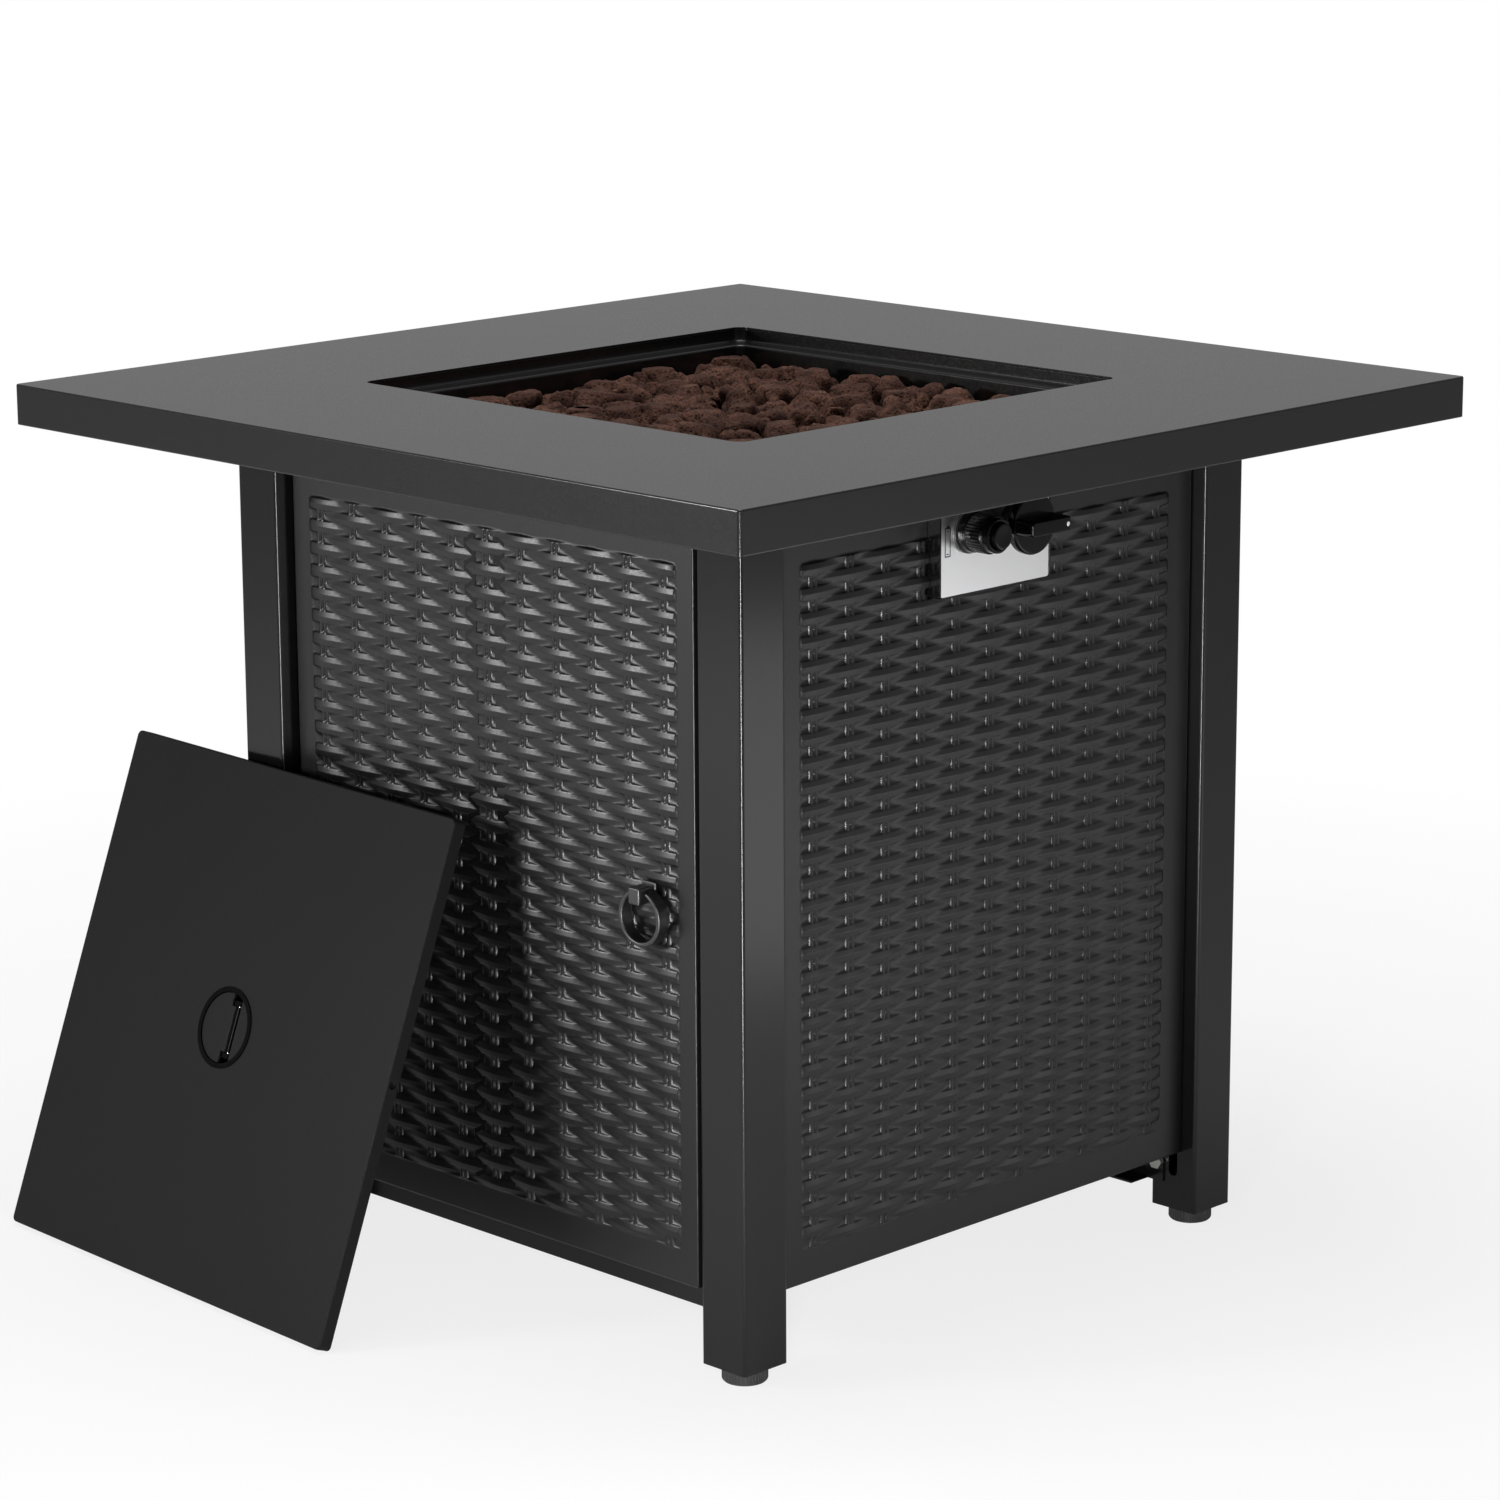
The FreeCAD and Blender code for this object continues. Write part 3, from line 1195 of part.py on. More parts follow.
def tube_along(points, radii, radius, bore=0):
    """A round tube, or a solid rod where the bore is nought, along a bent path."""
    path = bent_path(points, radii)
    direction = (points[1] - points[0]).normalize()
    solids = []
    for section in (radius, bore):
        if section > 0:
            profile = Part.Wire([Part.makeCircle(section, points[0], direction)])
            solids.append(path.makePipeShell([profile], True, False))
    tube = solids[0].cut(solids[1]) if len(solids) > 1 else solids[0]
    print(f"bent path of {path.Length:.1f} mm, radii {[round(r, 1) for r in radii]}")
    return tube


def make_pipes():
    """The rigid gas pipe from the valve to the mixer, and the wire from the igniter to the electrode."""
    pipe = [
        vector("valve_back", "knob_y", "pipe_level"),
        vector("pipe_down_x", "knob_y", "pipe_level"),
        vector("pipe_down_x", "knob_y", "pipe_run"),
        vector("0", "0", "pipe_run"),
        vector("0", "0", "mixer_low"),
    ]
    bends = [value(name) for name in ("pipe_bend_high", "pipe_bend_low", "pipe_bend_mixer")]
    new_shape("gas_pipe", tube_along(pipe, bends, value("pipe_radius"), value("pipe_radius - pipe_wall")))
    terminal = f"{BOWL_UNDER} - probe_below + wire_radius + 0.5"
    wire = [
        vector("igniter_back", "igniter_y", "igniter_level"),
        vector("igniter_back - wire_lead", "igniter_y", "igniter_level"),
        vector("(igniter_back + probe_x) / 2 + wire_sag_x", "igniter_y + wire_sag_y", f"{terminal} - wire_dip"),
        vector("probe_x + wire_run", "-probe_spread", terminal),
        vector("probe_x + spark_radius", "-probe_spread", terminal),
    ]
    bends = [value(name) for name in ("wire_bend_high", "wire_bend_middle", "wire_bend_low")]
    new_shape("ignition_wire", tube_along(wire, bends, value("wire_radius")))


def make_lid():
    """The pan-shaped lid that covers the bowl, its round recessed cup and the flap on its pin."""
    side = ("0", "lid_side")
    hollow = ("lid_sheet", "lid_side - lid_sheet")
    centre = "(lid_side / 2)"
    body = new_lid_body("lid_panel")
    add(body, "XZ", "0", "lid_depth", round_box(*side, *side, "lid_corner"))
    cut(body, "XZ", "lid_sheet", "lid_depth + 1", round_box(*hollow, *hollow, "(lid_corner - lid_sheet)"))
    cut(body, "XZ", "-1", "lid_sheet + 1", disc(centre, centre, "(cup_wall_radius + running_gap)"))
    cut(body, "YZ", "lid_side - lid_sheet - 1", "lid_side + 1",
        disc("(lid_depth / 2)", centre, "lid_hole_radius"))
    body = new_lid_body("lid_handle_cup")
    inner = "(cup_wall_radius - cup_sheet)"
    axis = f"({centre} + flap_axis)"
    lug = (f"{axis} - flap_lug_half", f"{axis} + flap_lug_half")
    lug_from = "(flap_barrel_half + seat_gap)"
    lug_to = "(flap_barrel_half + seat_gap + flap_lug_width)"
    add(body, "XZ", "-cup_sheet", "0", disc(centre, centre, "cup_radius"))
    add(body, "XZ", "-0.1", "cup_depth", disc(centre, centre, "cup_wall_radius"))
    cut(body, "XZ", "-cup_sheet - 1", "cup_depth - cup_sheet", disc(centre, centre, inner))
    add(body, "XZ", "flap_axis_depth - flap_pin_radius - 1.5", "cup_depth - cup_sheet + 0.1",
        box(*lug, f"{centre} - {lug_to}", f"{centre} - {lug_from}"),
        box(*lug, f"{centre} + {lug_from}", f"{centre} + {lug_to}"))
    cut(body, "XY", f"{centre} - {lug_to} - 1", f"{centre} + {lug_to} + 1",
        disc(axis, "flap_axis_depth", "(flap_pin_radius + running_gap)"))
    body = new_lid_body("lid_handle_flap")
    reach = f"({inner} - 0.5)"
    add(body, "XZ", "0", "flap_plate", disc(centre, centre, reach))
    straight_edge = f"({axis} - flap_lug_half - flap_notch)"
    beyond = f"{centre} + cup_radius"
    cut(body, "XZ", "-1", "flap_plate + 1",
        box(straight_edge, beyond, f"{centre} - cup_radius", beyond))
    add(body, "XY", f"{centre} - flap_barrel_half", f"{centre} + flap_barrel_half",
        disc(axis, "flap_axis_depth", "flap_barrel_radius"))
    add(body, "XZ", "0", "flap_plate",
        box(f"{straight_edge} - 2", axis, f"{centre} - flap_barrel_half",
            f"{centre} + flap_barrel_half"))
    cut(body, "XY", f"{centre} - flap_barrel_half - 1", f"{centre} + flap_barrel_half + 1",
        disc(axis, "flap_axis_depth", "(flap_pin_radius + running_gap)"))
    body = new_lid_body("lid_handle_pin")
    add(body, "XY", f"{centre} - {lug_to}", f"{centre} + {lug_to}",
        disc(axis, "flap_axis_depth", "flap_pin_radius"))


def check_model():
    """Stop before writing when an object has failed or a sub-part isn't a sound solid."""
    for item in doc.Objects:
        if "Invalid" in item.State or "Error" in item.State:
            raise RuntimeError(f"{item.Label} failed")
    for item in sub_parts:
        shape = item.Shape
        if shape.isNull() or not shape.isValid() or not shape.Solids:
            raise RuntimeError(f"{item.Label} isn't a valid solid")


def write_sub_parts():
    """Write each sub-part's shape to its own file."""
    os.makedirs("parts", exist_ok=True)
    for item in sub_parts:
        item.Shape.exportStep(f"parts/{item.Label}.step")


make_table_top()
make_top_nuts()
make_legs()
make_leg_inserts()
make_feet()
make_top_rails()
make_low_rails()
make_rail_bolts()
make_tank_tray()
make_panels()
make_door()
make_door_stiffener()
make_hinges()
make_door_stop()
make_ring_pull()
make_fire_bowl()
make_burner()
make_heat_shield()
make_probes()
make_lava_rocks()
make_control_box()
make_valve()
make_igniter()
make_pipes()
make_lid()
doc.recompute()
check_model()
write_sub_parts()
print(f"{len(sub_parts)} sub-parts")
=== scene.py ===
"""Fire pit table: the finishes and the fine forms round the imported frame.

The square table has folded sheet edges, embossed wicker panels round its cabinet, lava rock in its
bowl, a knob and an igniter on a bright plate, and the bowl's lid leaning on its front. Sizes are in
millimetres from the table's centre on the floor; meshes are made in metres in the row frame.
"""
import json
import logging
import math
from collections.abc import Iterable, Mapping, Sequence
from dataclasses import asdict, dataclass

import bmesh
import bpy
from mathutils import Matrix, Vector, geometry


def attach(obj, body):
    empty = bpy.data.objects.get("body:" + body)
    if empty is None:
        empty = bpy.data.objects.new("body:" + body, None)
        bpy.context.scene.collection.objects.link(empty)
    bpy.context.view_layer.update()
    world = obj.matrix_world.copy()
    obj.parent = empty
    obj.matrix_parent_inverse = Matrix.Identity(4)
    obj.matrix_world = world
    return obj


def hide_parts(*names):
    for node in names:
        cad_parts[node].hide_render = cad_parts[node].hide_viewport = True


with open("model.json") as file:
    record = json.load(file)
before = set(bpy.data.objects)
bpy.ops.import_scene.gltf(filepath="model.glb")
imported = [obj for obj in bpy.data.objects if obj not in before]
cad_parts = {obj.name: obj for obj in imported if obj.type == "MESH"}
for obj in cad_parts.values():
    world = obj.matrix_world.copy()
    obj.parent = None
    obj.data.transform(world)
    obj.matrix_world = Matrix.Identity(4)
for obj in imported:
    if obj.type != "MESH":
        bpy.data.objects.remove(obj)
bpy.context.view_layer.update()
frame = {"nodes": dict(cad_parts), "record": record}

LOG = logging.getLogger("fire_pit_table")
MM = 0.001
CENTRE = Vector((8.2, 19.9, 0.0))
SHARP = math.radians(32)
BRUSH_STRETCH = (60.0, 1.0, 60.0)

Pair = tuple[float, float]
Point = tuple[float, float, float]
Colour = tuple[float, float, float, float]
Socket = bpy.types.NodeSocket
Mesh = bpy.types.Mesh
Piece = bpy.types.Object


class Term:
    """A value inside a node tree, on which arithmetic adds math nodes."""

    def __init__(self, graph: "Graph", wire: Socket) -> None:
        """Keep the graph and the socket that gives the value."""
        self.graph = graph
        self.wire = wire

    def __add__(self, other: "Term | float") -> "Term":
        """Sum."""
        return self.graph.maths("ADD", self, other)

    def __sub__(self, other: "Term | float") -> "Term":
        """Difference."""
        return self.graph.maths("SUBTRACT", self, other)

    def __mul__(self, other: "Term | float") -> "Term":
        """Product."""
        return self.graph.maths("MULTIPLY", self, other)

    def __truediv__(self, other: "Term | float") -> "Term":
        """Quotient."""
        return self.graph.maths("DIVIDE", self, other)

    def __neg__(self) -> "Term":
        """Opposite."""
        return self * -1.0


Wire = Socket | Term | float | int | bool | tuple | str | bpy.types.ID
Inputs = Mapping[str | int, Wire]


class Graph:
    """Adds nodes to a shader or geometry tree and wires them."""

    def __init__(self, tree: bpy.types.NodeTree) -> None:
        """Keep the tree."""
        self.tree = tree

    def feed(self, socket: Socket, wire: Wire) -> None:
        """Link a socket, or set its own value.

        Args:
            socket: the input to feed.
            wire: a socket or term to link, or a plain value.
        """
        if isinstance(wire, Term):
            wire = wire.wire
        if isinstance(wire, Socket):
            self.tree.links.new(wire, socket)
        else:
            socket.default_value = wire

    def node(self, kind: str, inputs: Inputs | None = None, **settings: object) -> bpy.types.Node:
        """Add a node.

        Args:
            kind: the node's type name.
            inputs: what feeds each input, by name or number.
            settings: the node's own properties.

        Returns:
            The node.
        """
        made = self.tree.nodes.new(kind)
        for key, setting in settings.items():
            setattr(made, key, setting)
        for key, wire in (inputs or {}).items():
            self.feed(made.inputs[key], wire)
        return made

    def term(self, kind: str, inputs: Inputs | None = None, **settings: object) -> Term:
        """Add a node and return its first output."""
        return Term(self, self.node(kind, inputs, **settings).outputs[0])

    def maths(self, operation: str, *wires: Term | float) -> Term:
        """Apply a math node and return its result."""
        return self.term("ShaderNodeMath", dict(enumerate(wires)), operation=operation)

    def axes(self, place: Wire) -> list[Term]:
        """The x, y and z of a place."""
        return [Term(self, part) for part in self.node("ShaderNodeSeparateXYZ", {0: place}).outputs]

    def noise(self, place: Wire, scale: float, detail: float = 2.0, roughness: float = 0.5) -> Term:
        """Noise from about 0 to 1 at a place."""
        return self.term("ShaderNodeTexNoise", {"Vector": place, "Scale": scale, "Detail": detail,
                                                "Roughness": roughness})

    def between(self, amount: Wire, low: Wire, high: Wire) -> Term:
        """A colour between two colours."""
        made = self.node("ShaderNodeMix", {0: amount, 6: low, 7: high}, data_type="RGBA")
        return Term(self, made.outputs[2])

    def spread(self, amount: Wire, low: float, high: float, start: float = 0.0, end: float = 1.0) -> Term:
        """Map a number's stretch from start to end onto low to high, held at both ends."""
        return self.term("ShaderNodeMapRange", {0: amount, 1: start, 2: end, 3: low, 4: high})

    def bump(self, height: Wire, strength: float, depth: float) -> Term:
        """The normal of a surface whose height runs from 0 to 1 over a depth in metres."""
        return self.term("ShaderNodeBump", {"Height": height, "Strength": strength, "Distance": depth})


def grey(level: float) -> Colour:
    """A neutral colour of one brightness."""
    return (level, level, level, 1.0)


def emptied(holder: bpy.types.Material | bpy.types.World) -> Graph:
    """The tree of a new material or world, with no nodes in it."""
    holder.use_nodes = True
    holder.node_tree.nodes.clear()
    return Graph(holder.node_tree)


@dataclass(frozen=True)
class Finish:
    """A finish that every kind of surface shares: a name and a way to make its material."""

    name: str

    def material(self) -> bpy.types.Material:
        """The finish's material, made once.

        Returns:
            The material.
        """
        found = bpy.data.materials.get("finish_" + self.name)
        if found is not None:
            return found
        made = bpy.data.materials.new("finish_" + self.name)
        graph = emptied(made)
        place = graph.node("ShaderNodeTexCoord").outputs["Object"]
        shader = graph.term("ShaderNodeBsdfPrincipled", self.paint(graph, place))
        graph.node("ShaderNodeOutputMaterial", {"Surface": shader})
        return made

    def paint(self, graph: Graph, place: Socket) -> dict[str, Wire]:
        """What feeds the principled shader.

        Args:
            graph: the material's tree.
            place: object coordinates, in metres.

        Returns:
            The wire or the value of each input, by the input's name.
        """
        raise NotImplementedError


@dataclass(frozen=True)
class PowderCoat(Finish):
    """Baked powder paint: an even dark colour with a fine grain."""

    colour: float = 0.004
    roughness: float = 0.17
    gloss: float = 0.36
    grain: float = 1100.0
    depth: float = 0.00002

    def paint(self, graph: Graph, place: Socket) -> dict[str, Wire]:
        """Grain in the height, and slow drift in colour and gloss."""
        drift = graph.noise(place, 7.0, 3.0)
        fine = graph.noise(place, self.grain, 2.0, 0.6)
        peel = graph.noise(place, self.grain / 5, 1.0)
        return {
            "Base Color": graph.between(drift, grey(self.colour * 0.9), grey(self.colour * 1.12)),
            "Roughness": graph.spread(fine, self.roughness - 0.05, self.roughness + 0.07, 0.3, 0.7),
            "Specular IOR Level": self.gloss,
            "Normal": graph.bump(fine * 0.7 + peel * 0.6, 0.8, self.depth),
        }


@dataclass(frozen=True)
class Enamel(Finish):
    """Smooth heat-proof enamel, a little dusty."""

    colour: float = 0.007
    roughness: float = 0.2

    def paint(self, graph: Graph, place: Socket) -> dict[str, Wire]:
        """Gloss broken by a thin film of dust and a slow ripple."""
        ripple = graph.noise(place, 60.0, 2.0)
        dust = graph.noise(place, 420.0, 4.0, 0.7)
        film = graph.spread(dust, 0.0, 1.0, 0.6, 0.85)
        return {
            "Base Color": graph.between(film, grey(self.colour), grey(self.colour * 2.4)),
            "Roughness": graph.spread(dust, self.roughness, self.roughness + 0.1, 0.4, 0.85),
            "Normal": graph.bump(ripple, 0.25, 0.0003),
        }


@dataclass(frozen=True)
class Plastic(Finish):
    """Moulded plastic with a faint mould texture."""

    colour: float = 0.016
    roughness: float = 0.3
    gloss: float = 0.5
    texture: float = 2200.0
    depth: float = 0.00001

    def paint(self, graph: Graph, place: Socket) -> dict[str, Wire]:
        """A soft gloss that drifts, over a fine mould texture."""
        drift = graph.noise(place, 45.0, 2.0)
        fine = graph.noise(place, self.texture, 2.0)
        return {
            "Base Color": graph.between(drift, grey(self.colour * 0.85), grey(self.colour * 1.2)),
            "Roughness": graph.spread(drift, self.roughness - 0.04, self.roughness + 0.08),
            "Specular IOR Level": self.gloss,
            "Normal": graph.bump(fine, 0.5, self.depth),
        }


@dataclass(frozen=True)
class Metal(Finish):
    """Bare metal with brush strokes along Y, or a turned or cast skin."""

    colour: Colour = (0.62, 0.62, 0.61, 1.0)
    roughness: float = 0.3
    brushed: bool = False
    depth: float = 0.00003
    unevenness: float = 0.1

    def paint(self, graph: Graph, place: Socket) -> dict[str, Wire]:
        """Strokes or speckle in the height, the colour and the gloss."""
        stretched = place
        if self.brushed:
            stretched = graph.term("ShaderNodeMapping", {"Vector": place, "Scale": BRUSH_STRETCH})
        fine = graph.noise(stretched, 45.0 if self.brushed else 900.0, 4.0, 0.65)
        stain = graph.noise(place, 30.0, 3.0)
        dark = tuple(part * (1.0 - 1.8 * self.unevenness) for part in self.colour[:3]) + (1.0,)
        smoothest, roughest = self.roughness - 0.8 * self.unevenness, self.roughness + self.unevenness
        return {
            "Base Color": graph.between(fine * 0.5 + stain * 0.5, dark, self.colour),
            "Metallic": 1.0,
            "Roughness": graph.spread(fine, smoothest, roughest, 0.25, 0.75),
            "Normal": graph.bump(fine, 0.4, self.depth),
        }


@dataclass(frozen=True)
class LavaStone(Finish):
    """Porous lava rock: red-brown, pitted and dull."""

    dark: Colour = (0.012, 0.006, 0.005, 1.0)
    middle: Colour = (0.085, 0.032, 0.020, 1.0)
    pale: Colour = (0.20, 0.092, 0.060, 1.0)

    def paint(self, graph: Graph, place: Socket) -> dict[str, Wire]:
        """Pits and grit in the height; the pits are darkened with painted shade, and the lumps differ in
        tint.
        """
        lumps = graph.noise(place, 38.0, 2.0)
        grit = graph.noise(place, 520.0, 5.0, 0.7)
        pits = graph.term("ShaderNodeTexVoronoi", {"Vector": place, "Scale": 330.0})
        hollow = graph.spread(pits, 0.0, 1.0, 0.05, 0.42)
        tint = graph.between(graph.spread(lumps, 0.0, 1.0, 0.38, 0.66), self.middle, self.pale)
        shade = graph.between(graph.spread(grit, 0.0, 1.0, 0.32, 0.66), self.dark, tint)
        return {
            # The pits' centres take the dark colour: painted shade in the pits, laid over the grit's own dark
            # and pale tones.
            "Base Color": graph.between(hollow, self.dark, shade),
            "Roughness": 0.92,
            "Specular IOR Level": 0.25,
            "Normal": graph.bump(hollow * 0.7 + grit * 0.6, 0.9, 0.0016),
        }


@dataclass(frozen=True)
class Glaze(Finish):
    """White glazed ceramic."""

    pale: Colour = (0.8, 0.78, 0.72, 1.0)
    speck: Colour = (0.5, 0.46, 0.4, 1.0)

    def paint(self, graph: Graph, place: Socket) -> dict[str, Wire]:
        """A pale glaze with faint specks."""
        specks = graph.noise(place, 600.0, 3.0)
        return {
            "Base Color": graph.between(graph.spread(specks, 0.0, 1.0, 0.6, 0.75), self.pale, self.speck),
            "Roughness": graph.spread(specks, 0.18, 0.3),
            "Normal": graph.bump(specks, 0.2, 0.00005),
        }


TOP_COAT = PowderCoat("top_coat", colour=0.008, roughness=0.2, gloss=0.45)
LID_COAT = PowderCoat("lid_coat", colour=0.0068, roughness=0.52, gloss=0.12)
PANEL_COAT = PowderCoat("panel_coat", colour=0.003, roughness=0.35, gloss=0.45, depth=0.000006)
HANDLE_COAT = PowderCoat("handle_coat", colour=0.004, roughness=0.38, gloss=0.8, depth=0.000005)
BOWL_ENAMEL = Enamel("bowl_enamel")
KNOB_PLASTIC = Plastic("knob_plastic", colour=0.001, roughness=0.12, gloss=0.2, depth=0.000001)
BLACK_PLASTIC = Plastic("black_plastic", colour=0.018, roughness=0.42)
# Near-black plastic with almost no gloss for the handle cup, its rim and the flap's barrel: partly the cup's
# own black, partly painted shade standing for the dark gap round the cup and the dark slot beside the flap.
CUP_BLACK_AND_SHADE = Plastic("cup_black_and_shade", colour=0.001, roughness=0.25, gloss=0.06, depth=0.000001)
PLATE_INK = Plastic("plate_ink", colour=0.003, roughness=0.7, gloss=0.1)
WHITE_MARK = Plastic("white_mark", colour=0.85, roughness=0.4)
LAVA = LavaStone("lava_stone")

SLOT_FINISHES: dict[str, Finish] = {
    "powder_coat": PowderCoat("frame_coat"),
    "top_coat": TOP_COAT,
    "lid_coat": LID_COAT,
    "bowl_coat": BOWL_ENAMEL,
    "handle_coat": HANDLE_COAT,
    "zinc": Metal("zinc", (0.66, 0.66, 0.62, 1.0), 0.33),
    "plain_steel": Metal("sheet_steel", (0.5, 0.5, 0.49, 1.0), 0.34, brushed=True),
    "burner_steel": Metal("burner_steel", (0.44, 0.41, 0.38, 1.0), 0.4),
    "brushed_plate": Metal("brushed_plate", (0.95, 0.95, 0.96, 1.0), 0.3, True, 0.000003, 0.03),
    "brass": Metal("brass", (0.72, 0.53, 0.24, 1.0), 0.28),
    "valve_metal": Metal("cast_metal", (0.58, 0.58, 0.58, 1.0), 0.42),
    "ceramic": Glaze("ceramic"),
    "lava_rock": LAVA,
    "black_plastic": BLACK_PLASTIC,
    "knob_plastic": KNOB_PLASTIC,
    "handle_plastic": CUP_BLACK_AND_SHADE,
    "foot_plastic": BLACK_PLASTIC,
    "battery_case": Plastic("battery_sleeve", colour=0.05, roughness=0.2),
    "wire_jacket": Plastic("wire_jacket", colour=0.05, roughness=0.5),
}


def facing(across: Point, out: Point, origin: Point = (0.0, 0.0, 0.0)) -> Matrix:
    """A frame for a piece: its X runs across, its Z runs out, and its Y completes them.

    Args:
        across: the direction of the piece's X.
        out: the direction of the piece's Z.
        origin: the frame's origin, in millimetres from the table's centre.

    Returns:
        The frame as a matrix in millimetres.
    """
    x_axis = Vector(across).normalized()
    z_axis = Vector(out).normalized()
    y_axis = z_axis.cross(x_axis)
    made = Matrix((x_axis, y_axis, z_axis)).transposed().to_4x4()
    made.translation = Vector(origin)
    return made


@dataclass(frozen=True)
class Fold:
    """One bend of a sheet that runs round a rectangle.

    The rectangle has half widths u and v and a corner radius, and the bend lies at a level with an
    own bend radius.
    """

    u: float
    v: float
    corner: float
    level: float
    bend: float = 0.0


def square(half: float, corner: float, level: float, bend: float = 0.0) -> Fold:
    """A bend that runs round a square."""
    return Fold(half, half, corner, level, bend)


def rounded_rectangle(u: float, v: float, corner: float, level: float, steps: int) -> list[Point]:
    """The points of a rectangle with rounded corners.

    Args:
        u: half the width.
        v: half the depth.
        corner: the corner radius.
        level: the height of all points.
        steps: the pieces of each corner's arc.

    Returns:
        The points, anticlockwise.
    """
    points = []
    for quarter, (sign_u, sign_v) in enumerate(((1, 1), (-1, 1), (-1, -1), (1, -1))):
        for step in range(steps + 1):
            angle = math.radians(90 * quarter + 90 * step / steps)
            points.append((sign_u * (u - corner) + corner * math.cos(angle),
                           sign_v * (v - corner) + corner * math.sin(angle), level))
    return points


def bent_profile(folds: Sequence[Fold], closed: bool, steps: int) -> list[Fold]:
    """The folds with each bend written out as an arc of plain rectangles.

    Args:
        folds: the sheet's bends in order.
        closed: whether the last bend joins the first.
        steps: the pieces of each arc.

    Returns:
        The rectangles in order.
    """
    made = []
    count = len(folds)
    for index, fold in enumerate(folds):
        ends = not closed and index in (0, count - 1)
        if fold.bend <= 0 or ends:
            made.append(fold)
            continue
        here, back, ahead = (Vector((f.u, f.v, f.level))
                             for f in (fold, folds[index - 1], folds[(index + 1) % count]))
        inward = (back - here).normalized()
        outward = (ahead - here).normalized()
        for step in range(steps + 1):
            share = step / steps
            bow = fold.bend * (inward * (1 - share) ** 2 + outward * share ** 2)
            spot = here + bow
            corner = max(fold.corner + (spot.x - fold.u), 0.2)
            made.append(Fold(spot.x, spot.y, corner, spot.z))
    return made


def sheet_rings(folds: Sequence[Fold], closed: bool, steps: int, corner_steps: int) -> list[list[Point]]:
    """The rings of points along a bent sheet's profile."""
    return [rounded_rectangle(f.u, f.v, f.corner, f.level, corner_steps)
            for f in bent_profile(folds, closed, steps)]


class Shape:
    """The points and faces of one piece, gathered in a movable frame."""

    def __init__(self, place: Matrix | None = None) -> None:
        """Start empty, in the frame of the table's centre unless another is given."""
        self.place = place or Matrix.Identity(4)
        self.points: list[Point] = []
        self.faces: list[tuple[int, ...]] = []

    def ring(self, points: Iterable[Point]) -> list[int]:
        """Add points and return their numbers."""
        first = len(self.points)
        self.points.extend(tuple(self.place @ Vector(point)) for point in points)
        return list(range(first, len(self.points)))

    def join(self, one: Sequence[int], other: Sequence[int]) -> None:
        """Span two rings of the same count with faces."""
        count = len(one)
        for k in range(count):
            after = (k + 1) % count
            self.faces.append((one[k], one[after], other[after], other[k]))

    def loft(self, rings: Sequence[Sequence[Point]], closed: bool = False) -> None:
        """Span rings in order.

        Args:
            rings: rings of points with the same count.
            closed: whether the last ring joins the first; otherwise both are filled.
        """
        numbers = [self.ring(points) for points in rings]
        for one, other in zip(numbers, numbers[1:]):
            self.join(one, other)
        if closed:
            self.join(numbers[-1], numbers[0])
        else:
            self.faces += [tuple(numbers[0]), tuple(numbers[-1])]

    def sheet(self, folds: Sequence[Fold], closed: bool = True, steps: int = 5,
              corner_steps: int = 6) -> None:
        """Span a bent sheet round its rectangle, with steps in each bend and in each corner."""
        self.loft(sheet_rings(folds, closed, steps, corner_steps), closed)

    def turned(self, profile: Sequence[Pair], steps: int, closed: bool = False) -> None:
        """Turn a profile of (height, radius) pairs about the frame's Z.

        Args:
            profile: the pairs; a radius of nought at an end closes it there.
            steps: the pieces of each circle.
            closed: whether the last pair joins the first.
        """
        spin = [math.tau * k / steps for k in range(steps)]
        rings = []
        for height, radius in profile:
            reach = max(radius, 0.001)
            rings.append([(reach * math.cos(a), reach * math.sin(a), height) for a in spin])
        self.loft(rings, closed)

    def block(self, size: Point, middle: Point, bevel: float) -> None:
        """Add a block with rounded edges.

        Args:
            size: its width, depth and height.
            middle: its middle.
            bevel: its edge radius.
        """
        u, v, w = (part / 2 for part in size)
        inset = bevel * 1.5
        before = self.place
        self.place = before @ Matrix.Translation(Vector(middle))
        self.sheet([Fold(u - inset, v - inset, bevel, -w), Fold(u, v, inset, -w, bevel),
                    Fold(u, v, inset, w, bevel), Fold(u - inset, v - inset, bevel, w)],
                   closed=False, steps=3, corner_steps=4)
        self.place = before

    def build(self, name: str) -> Piece:
        """Make the mesh object in the row frame."""
        mesh = bpy.data.meshes.new(name)
        mesh.from_pydata([tuple((Vector(p) + CENTRE) * MM) for p in self.points], [], self.faces)
        return finished(name, mesh)


def linked(name: str, data: bpy.types.ID) -> Piece:
    """A new object in the scene that holds the data."""
    made = bpy.data.objects.new(name, data)
    bpy.context.scene.collection.objects.link(made)
    return made


def finished(name: str, mesh: Mesh, angle: float = SHARP, weld: bool = True) -> Piece:
    """Weld, turn the faces outwards, smooth and link a mesh.

    Args:
        name: the piece's name.
        mesh: the mesh, in metres in the row frame.
        angle: edges sharper than this stay sharp.
        weld: whether points that lie on each other are merged.

    Returns:
        The object.
    """
    shell = bmesh.new()
    shell.from_mesh(mesh)
    if weld:
        bmesh.ops.remove_doubles(shell, verts=shell.verts, dist=1e-6)
        bmesh.ops.dissolve_degenerate(shell, edges=shell.edges, dist=1e-7)
    bmesh.ops.recalc_face_normals(shell, faces=shell.faces)
    shell.to_mesh(mesh)
    shell.free()
    mesh.shade_smooth()
    mesh.set_sharp_from_angle(angle=angle)
    rough = linked(name + "_rough", mesh)
    rough.modifiers.new("even", "WEIGHTED_NORMAL").keep_sharp = True
    return linked(name, plain_mesh(rough))


